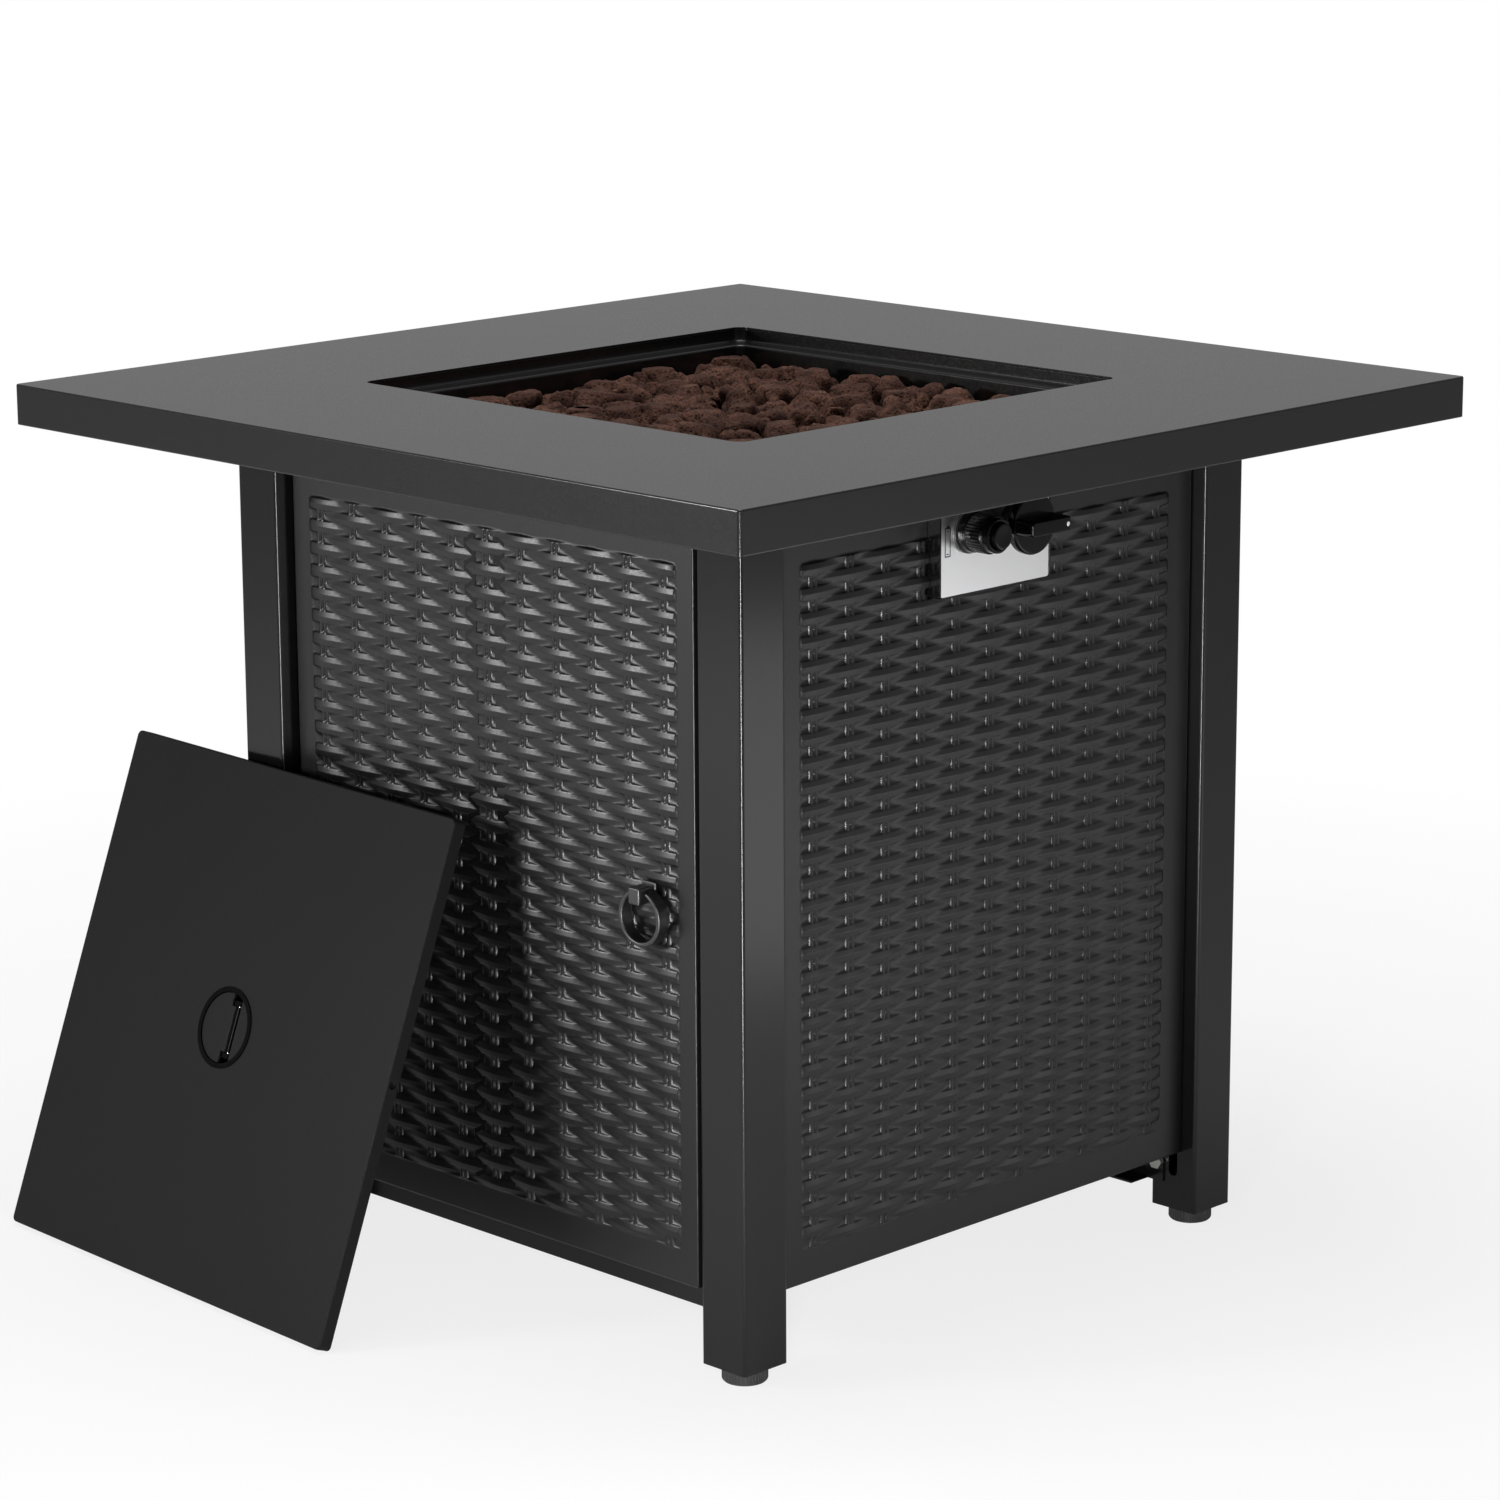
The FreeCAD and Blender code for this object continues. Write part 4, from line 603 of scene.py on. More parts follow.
def plain_mesh(piece: Piece) -> Mesh:
    """A piece's mesh with its modifiers worked in, and the piece removed."""
    bpy.context.view_layer.update()
    graph = bpy.context.evaluated_depsgraph_get()
    made = bpy.data.meshes.new_from_object(piece.evaluated_get(graph))
    bpy.data.objects.remove(piece)
    return made


def dress(piece: Piece, finish: Finish, body: str, slot: str, *nodes: str) -> None:
    """Give a piece its finish and its body, and hide the nodes that it stands for.

    Args:
        piece: the piece.
        finish: its finish.
        body: the body that it rides on.
        slot: the record's material slot; not used.
        nodes: the nodes that it replaces.
    """
    piece.data.materials.clear()
    piece.data.materials.append(finish.material())
    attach(piece, body)
    if nodes:
        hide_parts(*nodes)
    count = sum(len(face.vertices) - 2 for face in piece.data.polygons)
    LOG.info("%s on %s: %d triangles", piece.name, body, count)


def cut_out(piece: Piece, cutter: Shape) -> Piece:
    """Cut a shape out of a piece.

    Args:
        piece: the piece.
        cutter: the shape to take away.

    Returns:
        A new object of the same name.
    """
    tool = cutter.build(piece.name + "_cutter")
    name = piece.name
    piece.name = name + "_whole"
    modifier = piece.modifiers.new("cut", "BOOLEAN")
    modifier.operation = "DIFFERENCE"
    modifier.solver = "EXACT"
    modifier.object = tool
    mesh = plain_mesh(piece)
    bpy.data.objects.remove(tool)
    return finished(name, mesh, weld=False)


class NodeTool:
    """A geometry node tree that is built in steps and then worked into a plain mesh."""

    def __init__(self, name: str, inputs: Mapping[str, float | int], takes_mesh: bool = False) -> None:
        """Open the tree.

        Args:
            name: the tree's name.
            inputs: its named inputs and their values.
            takes_mesh: whether it starts from the mesh that it is given.
        """
        self.tree = bpy.data.node_groups.new(name, "GeometryNodeTree")
        self.tree.is_modifier = True
        ends = ("OUTPUT", "INPUT") if takes_mesh else ("OUTPUT",)
        for end in ends:
            self.tree.interface.new_socket("Geometry", in_out=end, socket_type="NodeSocketGeometry")
        self.values: dict[str, float | int] = {}
        for label, amount in inputs.items():
            kind = "NodeSocketInt" if isinstance(amount, int) else "NodeSocketFloat"
            socket = self.tree.interface.new_socket(label, in_out="INPUT", socket_type=kind)
            self.values[socket.identifier] = amount
        self.graph = Graph(self.tree)
        self.source = self.graph.node("NodeGroupInput")

    def given(self, label: str) -> Term:
        """One of the tree's inputs."""
        return Term(self.graph, self.source.outputs[label])

    def finish(self, shape: Wire, finish: Finish) -> None:
        """End the tree.

        Args:
            shape: the geometry to end with.
            finish: the finish that it is given.
        """
        real = self.graph.term("GeometryNodeRealizeInstances", {0: shape})
        dressed = self.graph.term("GeometryNodeSetMaterial", {0: real, "Material": finish.material()})
        self.graph.node("NodeGroupOutput", {0: dressed})

    def run(self, name: str, mesh: Mesh | None = None) -> Mesh:
        """Work the tree into a plain mesh.

        Args:
            name: the working object's name.
            mesh: the mesh that it starts from, if any.

        Returns:
            The new mesh.
        """
        holder = linked(name + "_source", mesh or bpy.data.meshes.new(name))
        modifier = holder.modifiers.new("shape", "NODES")
        modifier.node_group = self.tree
        for identifier, amount in self.values.items():
            modifier[identifier] = amount
        return plain_mesh(holder)


@dataclass(frozen=True)
class Weave:
    """The embossed wicker: upright stakes, and strands that pass over every second one."""

    stake_pitch: float = 33.9
    row_pitch: float = 7.93
    first_stake: float = -170.0
    first_row: float = 74.5
    strand_level: float = 0.75
    strand_slope: float = 0.2
    strand_half: float = 4.0
    strand_blend: float = 0.25
    edge_slope: float = 0.85
    weave_rise: float = 1.45
    stake_level: float = -0.92
    stake_blend: float = 0.4
    ridge_offset: float = 2.1
    ridge_radius: float = 2.2
    floor: float = -0.42
    floor_rise: float = 0.14
    floor_half: float = 15.0
    cross_blend: float = 0.35
    edge_ramp: float = 2.4
    corner: float = 6.0


@dataclass(frozen=True)
class PanelSizes:
    """A folded panel, seen from outside: x across, z up, and its face towards -y."""

    left: float
    right: float
    low: float
    high: float
    face: float
    depth: float
    field_left: float
    field_right: float
    field_low: float = 77.5
    field_high: float = 540.0
    sheet: float = 1.2
    bend: float = 2.2


class WickerPanel:
    """A folded steel panel with its embossed field, as one closed shell."""

    HALF_OFFSETS = (0.0, 0.9, 2.1, 3.0, 3.7, 4.12, 4.25, 7.0, 11.5)
    ROW_SHARES = (0.0, 0.07, 0.36, 0.47, 0.53, 0.64, 0.93)

    def __init__(self, name: str, sizes: PanelSizes, weave: Weave, turn: float) -> None:
        """Keep the sizes.

        Args:
            name: the panel's name, which is its node's.
            sizes: the panel's sizes.
            weave: the wicker's sizes.
            turn: how far the panel is turned about the table's centre, in degrees.
        """
        self.name = name
        self.sizes = sizes
        self.weave = weave
        self.turn = turn

    def lines_across(self, fine: bool) -> list[float]:
        """The field's upright mesh lines, close together at the stakes."""
        pitch = self.weave.stake_pitch
        half = self.HALF_OFFSETS if fine else (3.0, 8.0)
        offsets = {sign * step for step in half for sign in (-1, 1)} | {pitch / 2}
        lines = [self.weave.first_stake + pitch * k + offset for k in range(-1, 13) for offset in offsets]
        return self.within(lines, self.sizes.field_left, self.sizes.field_right)

    def lines_up(self, fine: bool) -> list[float]:
        """The field's level mesh lines, the same number for each row of strands."""
        weave = self.weave
        shares = self.ROW_SHARES if fine else (0.0, 0.5)
        lines = [weave.first_row + weave.row_pitch * (k + share) for k in range(-1, 62) for share in shares]
        return self.within(lines, self.sizes.field_low, self.sizes.field_high)

    def within(self, lines: Iterable[float], low: float, high: float) -> list[float]:
        """The lines inside the field, with close ones at its edge and one just outside."""
        ramp = self.weave.edge_ramp
        edges = [-1.0, 0.0, ramp * 0.25, ramp * 0.5, ramp * 0.75, ramp]
        inner = [line for line in lines if low + ramp + 0.5 < line < high - ramp - 0.5]
        return sorted([low + edge for edge in edges] + inner + [high - edge for edge in edges])

    def plate(self, shape: Shape, ring: Sequence[int], level: float, fine: bool) -> int:
        """Fill a ring with the field's grid and the flat border round it.

        Args:
            shape: the shape to add to.
            ring: the ring that bounds the plate.
            level: the plate's y.
            fine: whether the grid carries the whole relief.

        Returns:
            The number of points that were added.
        """
        across = self.lines_across(fine)
        up = self.lines_up(fine)
        numbers = [shape.ring([(x, level, z) for x in across]) for z in up]
        for below, above in zip(numbers, numbers[1:]):
            for k in range(len(across) - 1):
                shape.faces.append((below[k], below[k + 1], above[k + 1], above[k]))
        border = (numbers[0] + [row[-1] for row in numbers[1:-1]] + numbers[-1][::-1]
                  + [row[0] for row in numbers[-2:0:-1]])
        outlines = [list(ring), border]
        flat = [[Vector((shape.points[k][0], shape.points[k][2], 0.0)) for k in outline]
                for outline in outlines]
        order = outlines[0] + outlines[1]
        for triangle in geometry.tessellate_polygon(flat):
            shape.faces.append(tuple(order[k] for k in triangle))
        return len(across) * len(up)

    def base_shape(self) -> tuple[Shape, list[float]]:
        """The flat panel's closed shell and the share of the relief that each point takes."""
        s = self.sizes
        middle_x = (s.left + s.right) / 2
        middle_z = (s.low + s.high) / 2
        u, v, t = (s.right - s.left) / 2, (s.high - s.low) / 2, s.sheet
        shape = Shape(facing((1, 0, 0), (0, -1, 0), (middle_x, 0.0, middle_z)))
        folds = [
            Fold(u - t, v - t, 0.4, -s.face - t),
            Fold(u - t, v - t, 0.4, -s.face - s.depth),
            Fold(u, v, 1.0, -s.face - s.depth),
            Fold(u, v, 1.0, -s.face, s.bend),
            Fold(u - s.bend - 1, v - s.bend - 1, 0.6, -s.face),
        ]
        numbers = [shape.ring(points) for points in sheet_rings(folds, False, 5, 3)]
        for one, other in zip(numbers, numbers[1:]):
            shape.join(one, other)
        shape.place = Matrix.Identity(4)
        shares = [0.0] * len(shape.points)
        shares += [1.0] * self.plate(shape, numbers[-1], s.face, True)
        shares += [0.4] * self.plate(shape, numbers[0], s.face + t, False)
        return shape, shares

    def relief(self, tool: NodeTool) -> Term:
        """The relief's height in millimetres at each point, as a rule of x and z.

        Args:
            tool: the node tool whose inputs give the weave's sizes.

        Returns:
            The height.
        """
        maths, given = tool.graph.maths, tool.given
        x, _, z = tool.graph.axes(tool.graph.term("GeometryNodeInputPosition"))
        along = (x - given("first_stake")) / given("stake_pitch")
        rows = (z - given("first_row")) / given("row_pitch")
        low, here, above, high = (self.strand(tool, along, rows, step) for step in (-1.0, 0.0, 1.0, 2.0))
        strands = maths("SMOOTH_MAX", here, above, given("strand_blend"))
        strands = maths("MAXIMUM", strands, maths("MAXIMUM", low, high))
        aside = maths("ABSOLUTE", (along - maths("ROUND", along)) * given("stake_pitch"))
        across = aside - given("ridge_offset")
        radius = given("ridge_radius")
        ridge = maths("SQRT", maths("MAXIMUM", radius * radius - across * across, 0.0))
        turn = maths("MINIMUM", aside / given("floor_half"), 1.0) * math.pi
        floor = maths("COSINE", turn) * given("floor_rise") + given("floor")
        stakes = maths("SMOOTH_MAX", ridge + given("stake_level"), floor, given("stake_blend"))
        return maths("SMOOTH_MAX", strands, stakes, given("cross_blend")) * self.edge_share(tool, x, z)

    def strand(self, tool: NodeTool, along: Term, rows: Term, step: float) -> Term:
        """The height of one row's strand: two flat facets with steep edges, over and under the stakes.

        Args:
            tool: the node tool whose inputs give the weave's sizes.
            along: the place in stake pitches.
            rows: the place in row pitches.
            step: which row it is, counted from the one below the place.

        Returns:
            The height.
        """
        maths, given = tool.graph.maths, tool.given
        row = maths("FLOOR", rows) + step
        swing = maths("COSINE", (along + row) * math.pi) * given("weave_rise")
        off = maths("ABSOLUTE", rows - row) * given("row_pitch")
        steep = maths("MAXIMUM", off - given("strand_half"), 0.0) * given("edge_slope")
        return swing + given("strand_level") - off * given("strand_slope") - steep

    def edge_share(self, tool: NodeTool, x: Term, z: Term) -> Term:
        """How much of the relief stands at a place: none at the field's edge, all within it."""
        maths, given = tool.graph.maths, tool.given
        corner = given("corner")
        past = []
        for spot, low, high in ((x, "field_left", "field_right"), (z, "field_low", "field_high")):
            middle = (given(low) + given(high)) * 0.5
            half = (given(high) - given(low)) * 0.5
            past.append(maths("ABSOLUTE", spot - middle) - half + corner)
        out_x, out_z = (maths("MAXIMUM", side, 0.0) for side in past)
        reach = maths("SQRT", out_x * out_x + out_z * out_z)
        inside = maths("MINIMUM", maths("MAXIMUM", past[0], past[1]), 0.0)
        depth = (corner - reach - inside) / given("edge_ramp")
        return tool.graph.term("ShaderNodeMapRange", {0: depth, 1: 0.0, 2: 1.0, 3: 0.0, 4: 1.0},
                               interpolation_type="SMOOTHSTEP")

    def emboss(self, mesh: Mesh) -> Mesh:
        """Press the wicker into the flat panel.

        Args:
            mesh: the flat panel, in millimetres.

        Returns:
            The embossed mesh.
        """
        sides = {name: size for name, size in asdict(self.sizes).items() if name.startswith("field")}
        tool = NodeTool(self.name + "_weave", asdict(self.weave) | sides, takes_mesh=True)
        share = tool.graph.term("GeometryNodeInputNamedAttribute", {0: "lift"}, data_type="FLOAT")
        shift = tool.graph.term("ShaderNodeCombineXYZ", {1: -(self.relief(tool) * share)})
        pressed = tool.graph.term("GeometryNodeSetPosition", {"Geometry": tool.given("Geometry"),
                                                              "Offset": shift})
        tool.finish(pressed, PANEL_COAT)
        return tool.run(self.name, mesh)

    def build(self) -> Piece:
        """Make the panel in its place."""
        shape, shares = self.base_shape()
        mesh = bpy.data.meshes.new(self.name)
        mesh.from_pydata(shape.points, [], shape.faces)
        mesh.attributes.new("lift", "FLOAT", "POINT").data.foreach_set("value", shares)
        pressed = self.emboss(mesh)
        turned = Matrix.Rotation(math.radians(self.turn), 4, "Z")
        pressed.transform(Matrix.Scale(MM, 4) @ Matrix.Translation(CENTRE) @ turned)
        return finished(self.name + "_pressed", pressed, math.radians(50))


@dataclass
class Cabinet:
    """The three fixed panels and the door round the gas bottle."""

    leg_inner: float = 207.5
    face: float = -235.0
    low: float = 55.0
    high: float = 576.0
    depth: float = 15.0
    field_half: float = 182.5
    door_left: float = -204.0
    door_right: float = 192.0
    door_high: float = 575.0
    door_depth: float = 12.5
    door_return: float = 14.0
    return_sheet: float = 1.2
    door_field: Pair = (-186.0, 177.5)
    window_left: float = -62.3
    window_right: float = 47.3
    window_low: float = 498.7
    window_high: float = 570.3
    window_cut: float = 30.0

    def cut_window(self, piece: Piece) -> Piece:
        """Cut the control box's window into the right panel."""
        size = (self.window_cut, self.window_right - self.window_left, self.window_high - self.window_low)
        middle = (-self.face, (self.window_left + self.window_right) / 2,
                  (self.window_low + self.window_high) / 2)
        cutter = Shape()
        cutter.block(size, middle, 0.3)
        return cut_out(piece, cutter)

    def build_side(self, name: str, turn: float) -> None:
        """Make and dress a fixed panel."""
        sizes = PanelSizes(-self.leg_inner, self.leg_inner, self.low, self.high, self.face, self.depth,
                           -self.field_half, self.field_half)
        piece = WickerPanel(name, sizes, Weave(), turn).build()
        if name == "right_panel":
            piece = self.cut_window(piece)
        dress(piece, PANEL_COAT, "table", "powder_coat", name)

    def build_door(self) -> None:
        """Make and dress the door with the return behind its free edge."""
        sizes = PanelSizes(self.door_left, self.door_right, self.low, self.door_high, self.face,
                           self.door_depth, *self.door_field)
        weave = Weave(first_stake=sum(self.door_field) / 2 - 5 * Weave.stake_pitch)
        piece = WickerPanel("door_panel", sizes, weave, 0).build()
        dress(piece, PANEL_COAT, "door", "powder_coat", "door_panel")
        sheet = self.return_sheet
        back = self.face + self.door_depth
        size = (self.door_return - sheet, sheet, self.door_high - self.low - 2 * sheet)
        middle = (self.door_right - self.door_return / 2 - sheet / 2, back - sheet / 2,
                  (self.low + self.door_high) / 2)
        folded = Shape()
        folded.block(size, middle, 0.25)
        dress(folded.build("door_return"), PANEL_COAT, "door", "powder_coat")

    def build(self) -> None:
        """Make all four."""
        for name, turn in (("right_panel", 90), ("left_panel", 270), ("back_panel", 180)):
            self.build_side(name, turn)
        self.build_door()


@dataclass
class TableTop:
    """The folded top with its hem, its opening and its welded studs."""

    half: float = 355.6
    corner: float = 3.0
    high: float = 612.0
    skirt: float = 28.5
    sheet: float = 1.5
    hem: float = 10.0
    bend: float = 1.5
    opening: float = 185.0
    opening_corner: float = 8.0
    stud_row: float = 196.0
    stud_spread: float = 120.0
    stud_radius: float = 2.5
    stud_length: float = 12.0

    def build(self) -> None:
        """Make and dress the top."""
        low = self.high - self.skirt
        inner = self.half - self.sheet
        lip = self.half - self.hem
        under = self.high - self.sheet
        shape = Shape()
        shape.sheet([
            square(self.half, self.corner, low, 1.0),
            square(self.half, self.corner, self.high, self.bend),
            square(self.opening, self.opening_corner, self.high, 0.4),
            square(self.opening, self.opening_corner, under, 0.2),
            square(inner, self.corner - self.sheet, under, 0.4),
            square(inner, self.corner - self.sheet, low + self.sheet, 0.2),
            square(lip, 0.6, low + self.sheet, 0.2),
            square(lip, 0.6, low, 0.3),
        ], steps=4)
        spots = [(a * u, b * v) for a in (-1, 1) for b in (-1, 1)
                 for u, v in ((self.stud_row, self.stud_spread), (self.stud_spread, self.stud_row))]
        for x, y in spots:
            shape.place = Matrix.Translation(Vector((x, y, under - self.stud_length)))
            shape.turned([(0.0, 0.0), (0.0, self.stud_radius - 0.5), (0.5, self.stud_radius),
                          (self.stud_length, self.stud_radius), (self.stud_length, 0.0)], 12)
        dress(shape.build("table_top_folded"), TOP_COAT, "table", "top_coat", "table_top")


@dataclass
class FireBowl:
    """The enamelled pan: flange, wall, the ledge for the lid, the deep wall and the floor."""

    flange: float = 203.0
    top: float = 610.5
    wall: float = 185.5
    ledge: float = 601.5
    pan: float = 170.0
    floor: float = 546.5
    middle_hole: float = 12.0
    edge_corner: float = 3.0
    sheet: float = 1.5
    corner: float = 8.5
    bend: float = 2.0

    def build(self) -> None:
        """Make and dress the bowl."""
        t = self.sheet
        shape = Shape()
        shape.sheet([
            square(self.flange, self.edge_corner, self.top, 0.3),
            square(self.wall, self.corner, self.top, 0.5),
            square(self.wall, self.corner, self.ledge, self.bend),
            square(self.pan, self.corner - 2, self.ledge, self.bend),
            square(self.pan, self.corner - 2, self.floor, self.bend),
            square(self.middle_hole, self.edge_corner, self.floor),
            square(self.middle_hole, self.edge_corner, self.floor - t),
            square(self.pan + t, self.corner - 1, self.floor - t, self.bend + t),
            square(self.pan + t, self.corner - 1, self.ledge - t, self.bend - t),
            square(self.wall + t, self.corner + 1, self.ledge - t, self.bend + t),
            square(self.wall + t, self.corner + 1, self.top - t, 0.3),
            square(self.flange, self.edge_corner, self.top - t, 0.3),
        ])
        dress(shape.build("fire_bowl_pressed"), BOWL_ENAMEL, "table", "bowl_coat", "fire_bowl")


@dataclass(frozen=True)
class LumpLayer:
    """A square grid of lumps, in metres: the level and the reach of their middles, and their radii."""

    level: float
    count: int
    reach: float
    least: float
    most: float
    detail: int
    seed: int


@dataclass
class LavaBed:
    """Lumps of lava rock, each a ball whose skin follows noise, in three layers."""

    pan: float = 169.0
    crest: float = 596.0
    seed: int = 7
    layers: tuple[LumpLayer, ...] = (
        LumpLayer(level=0.5800, count=9, reach=0.150, least=0.0155, most=0.0225, detail=4, seed=11),
        LumpLayer(level=0.5850, count=11, reach=0.152, least=0.0070, most=0.0125, detail=3, seed=31),
        LumpLayer(level=0.5610, count=8, reach=0.146, least=0.0170, most=0.0230, detail=2, seed=51),
    )

    def draw(self, graph: Graph, low: Point, high: Point, seed: int) -> Term:
        """A random vector for each lump."""
        return graph.term("FunctionNodeRandomValue", {0: low, 1: high, "Seed": seed},
                          data_type="FLOAT_VECTOR")

    def scattered(self, graph: Graph, layer: LumpLayer) -> Term:
        """One layer of lumps.

        Args:
            graph: the bed's tree.
            layer: the layer.

        Returns:
            The layer's instances.
        """
        grid = graph.term("GeometryNodeMeshGrid", {"Size X": layer.reach * 2, "Size Y": layer.reach * 2,
                                                   "Vertices X": layer.count, "Vertices Y": layer.count})
        step = layer.reach / (layer.count - 1) * 0.42
        jitter = self.draw(graph, (-step, -step, -0.0022), (step, step, 0.0022), layer.seed)
        placed = graph.term("GeometryNodeSetPosition", {"Geometry": grid, "Offset": jitter})
        lifted = graph.term("GeometryNodeTransform", {"Geometry": placed,
                                                      "Translation": (0.0, 0.0, layer.level)})
        ball = graph.term("GeometryNodeMeshIcoSphere", {"Radius": 1.0, "Subdivisions": layer.detail})
        turn = self.draw(graph, (0.0, 0.0, 0.0), (6.28, 6.28, 6.28), layer.seed + 1)
        size = self.draw(graph, (layer.least, layer.least, layer.least * 0.72),
                         (layer.most, layer.most, layer.most * 0.8), layer.seed + 2)
        return graph.term("GeometryNodeInstanceOnPoints", {"Points": lifted, "Instance": ball,
                                                           "Rotation": turn, "Scale": size})

    def pattern(self, tool: NodeTool, kind: str, scale: float, **inputs: float) -> Term:
        """A texture in four dimensions, drawn from the bed's seed."""
        place = tool.graph.term("GeometryNodeInputPosition")
        return tool.graph.term("ShaderNodeTex" + kind, {"Vector": place, "W": tool.given("Seed"),
                                                        "Scale": scale, **inputs},
                               **{kind.lower() + "_dimensions": "4D"})

    def skin(self, tool: NodeTool) -> Term:
        """How far each point of a lump is lifted off its ball."""
        lumps = self.pattern(tool, "Noise", 52.0, Detail=1.0)
        grit = self.pattern(tool, "Noise", 210.0, Detail=3.0)
        cleft = self.pattern(tool, "Voronoi", 62.0)
        pore = self.pattern(tool, "Voronoi", 250.0)
        return ((lumps - 0.5) * tool.given("Lump Depth") * 2.0 + (grit - 0.5) * tool.given("Grit Depth") * 2.0
                - (cleft - 0.45) * tool.given("Cleft Depth")
                + tool.graph.spread(pore, -1.0, 0.0, 0.1, 0.5) * tool.given("Pore Depth"))

    def build(self) -> None:
        """Make and dress the bed."""
        tool = NodeTool("lava_bed", {"Seed": self.seed, "Lump Depth": 0.008, "Grit Depth": 0.002,
                                     "Cleft Depth": 0.009, "Pore Depth": 0.0016,
                                     "Crest": self.crest * MM, "Pan": self.pan * MM})
        graph = tool.graph
        joined = graph.node("GeometryNodeJoinGeometry")
        for layer in self.layers:
            graph.feed(joined.inputs[0], self.scattered(graph, layer))
        real = graph.term("GeometryNodeRealizeInstances", {0: joined.outputs[0]})
        shift = graph.term("ShaderNodeVectorMath", {0: graph.term("GeometryNodeInputNormal"),
                                                    "Scale": self.skin(tool)}, operation="SCALE")
        rough = graph.term("GeometryNodeSetPosition", {"Geometry": real, "Offset": shift})
        tool.finish(self.held_inside(tool, rough), LAVA)
        mesh = tool.run("lava_rocks")
        mesh.transform(Matrix.Translation(CENTRE * MM))
        piece = finished("lava_rock_bed", mesh, math.radians(60), weld=False)
        dress(piece, LAVA, "table", "lava_rock", "lava_rocks")

    def held_inside(self, tool: NodeTool, shape: Term) -> Term:
        """The lumps, held inside the pan and under the crest."""
        maths, pan = tool.graph.maths, tool.given("Pan")
        x, y, z = tool.graph.axes(tool.graph.term("GeometryNodeInputPosition"))
        x, y = (maths("MAXIMUM", maths("MINIMUM", part, pan), -pan) for part in (x, y))
        height = maths("MINIMUM", z, tool.given("Crest"))
        spot = tool.graph.term("ShaderNodeCombineXYZ", {0: x, 1: y, 2: height})
        return tool.graph.term("GeometryNodeSetPosition", {"Geometry": shape, "Position": spot})


@dataclass(frozen=True)
class Ribs:
    """A ring of rounded ribs along an axis."""

    count: int
    radius: float
    thickness: float
    start: float
    end: float

    def build(self, name: str, place: Matrix, finish: Finish) -> Piece:
        """Make the ribs with a node tool.

        Args:
            name: the piece's name.
            place: the frame whose Z the ribs run along, in millimetres.
            finish: the ribs' finish.

        Returns:
            The piece.
        """
        tool = NodeTool(name, asdict(self))
        graph, given = tool.graph, tool.given
        ring = graph.term("GeometryNodeMeshCircle", {"Vertices": given("count"), "Radius": given("radius")})
        rib = graph.term("GeometryNodeMeshCylinder", {"Vertices": 8, "Side Segments": 1,
                                                      "Radius": given("thickness"),
                                                      "Depth": given("end") - given("start")})
        offset = graph.term("ShaderNodeCombineXYZ", {2: (given("start") + given("end")) * 0.5})
        raised = graph.term("GeometryNodeTransform", {"Geometry": rib, "Translation": offset})
        ribs = graph.term("GeometryNodeInstanceOnPoints", {"Points": ring, "Instance": raised})
        tool.finish(ribs, finish)
        mesh = tool.run(name)
        mesh.transform(Matrix.Scale(MM, 4) @ Matrix.Translation(CENTRE) @ place)
        return finished(name, mesh, math.radians(50))


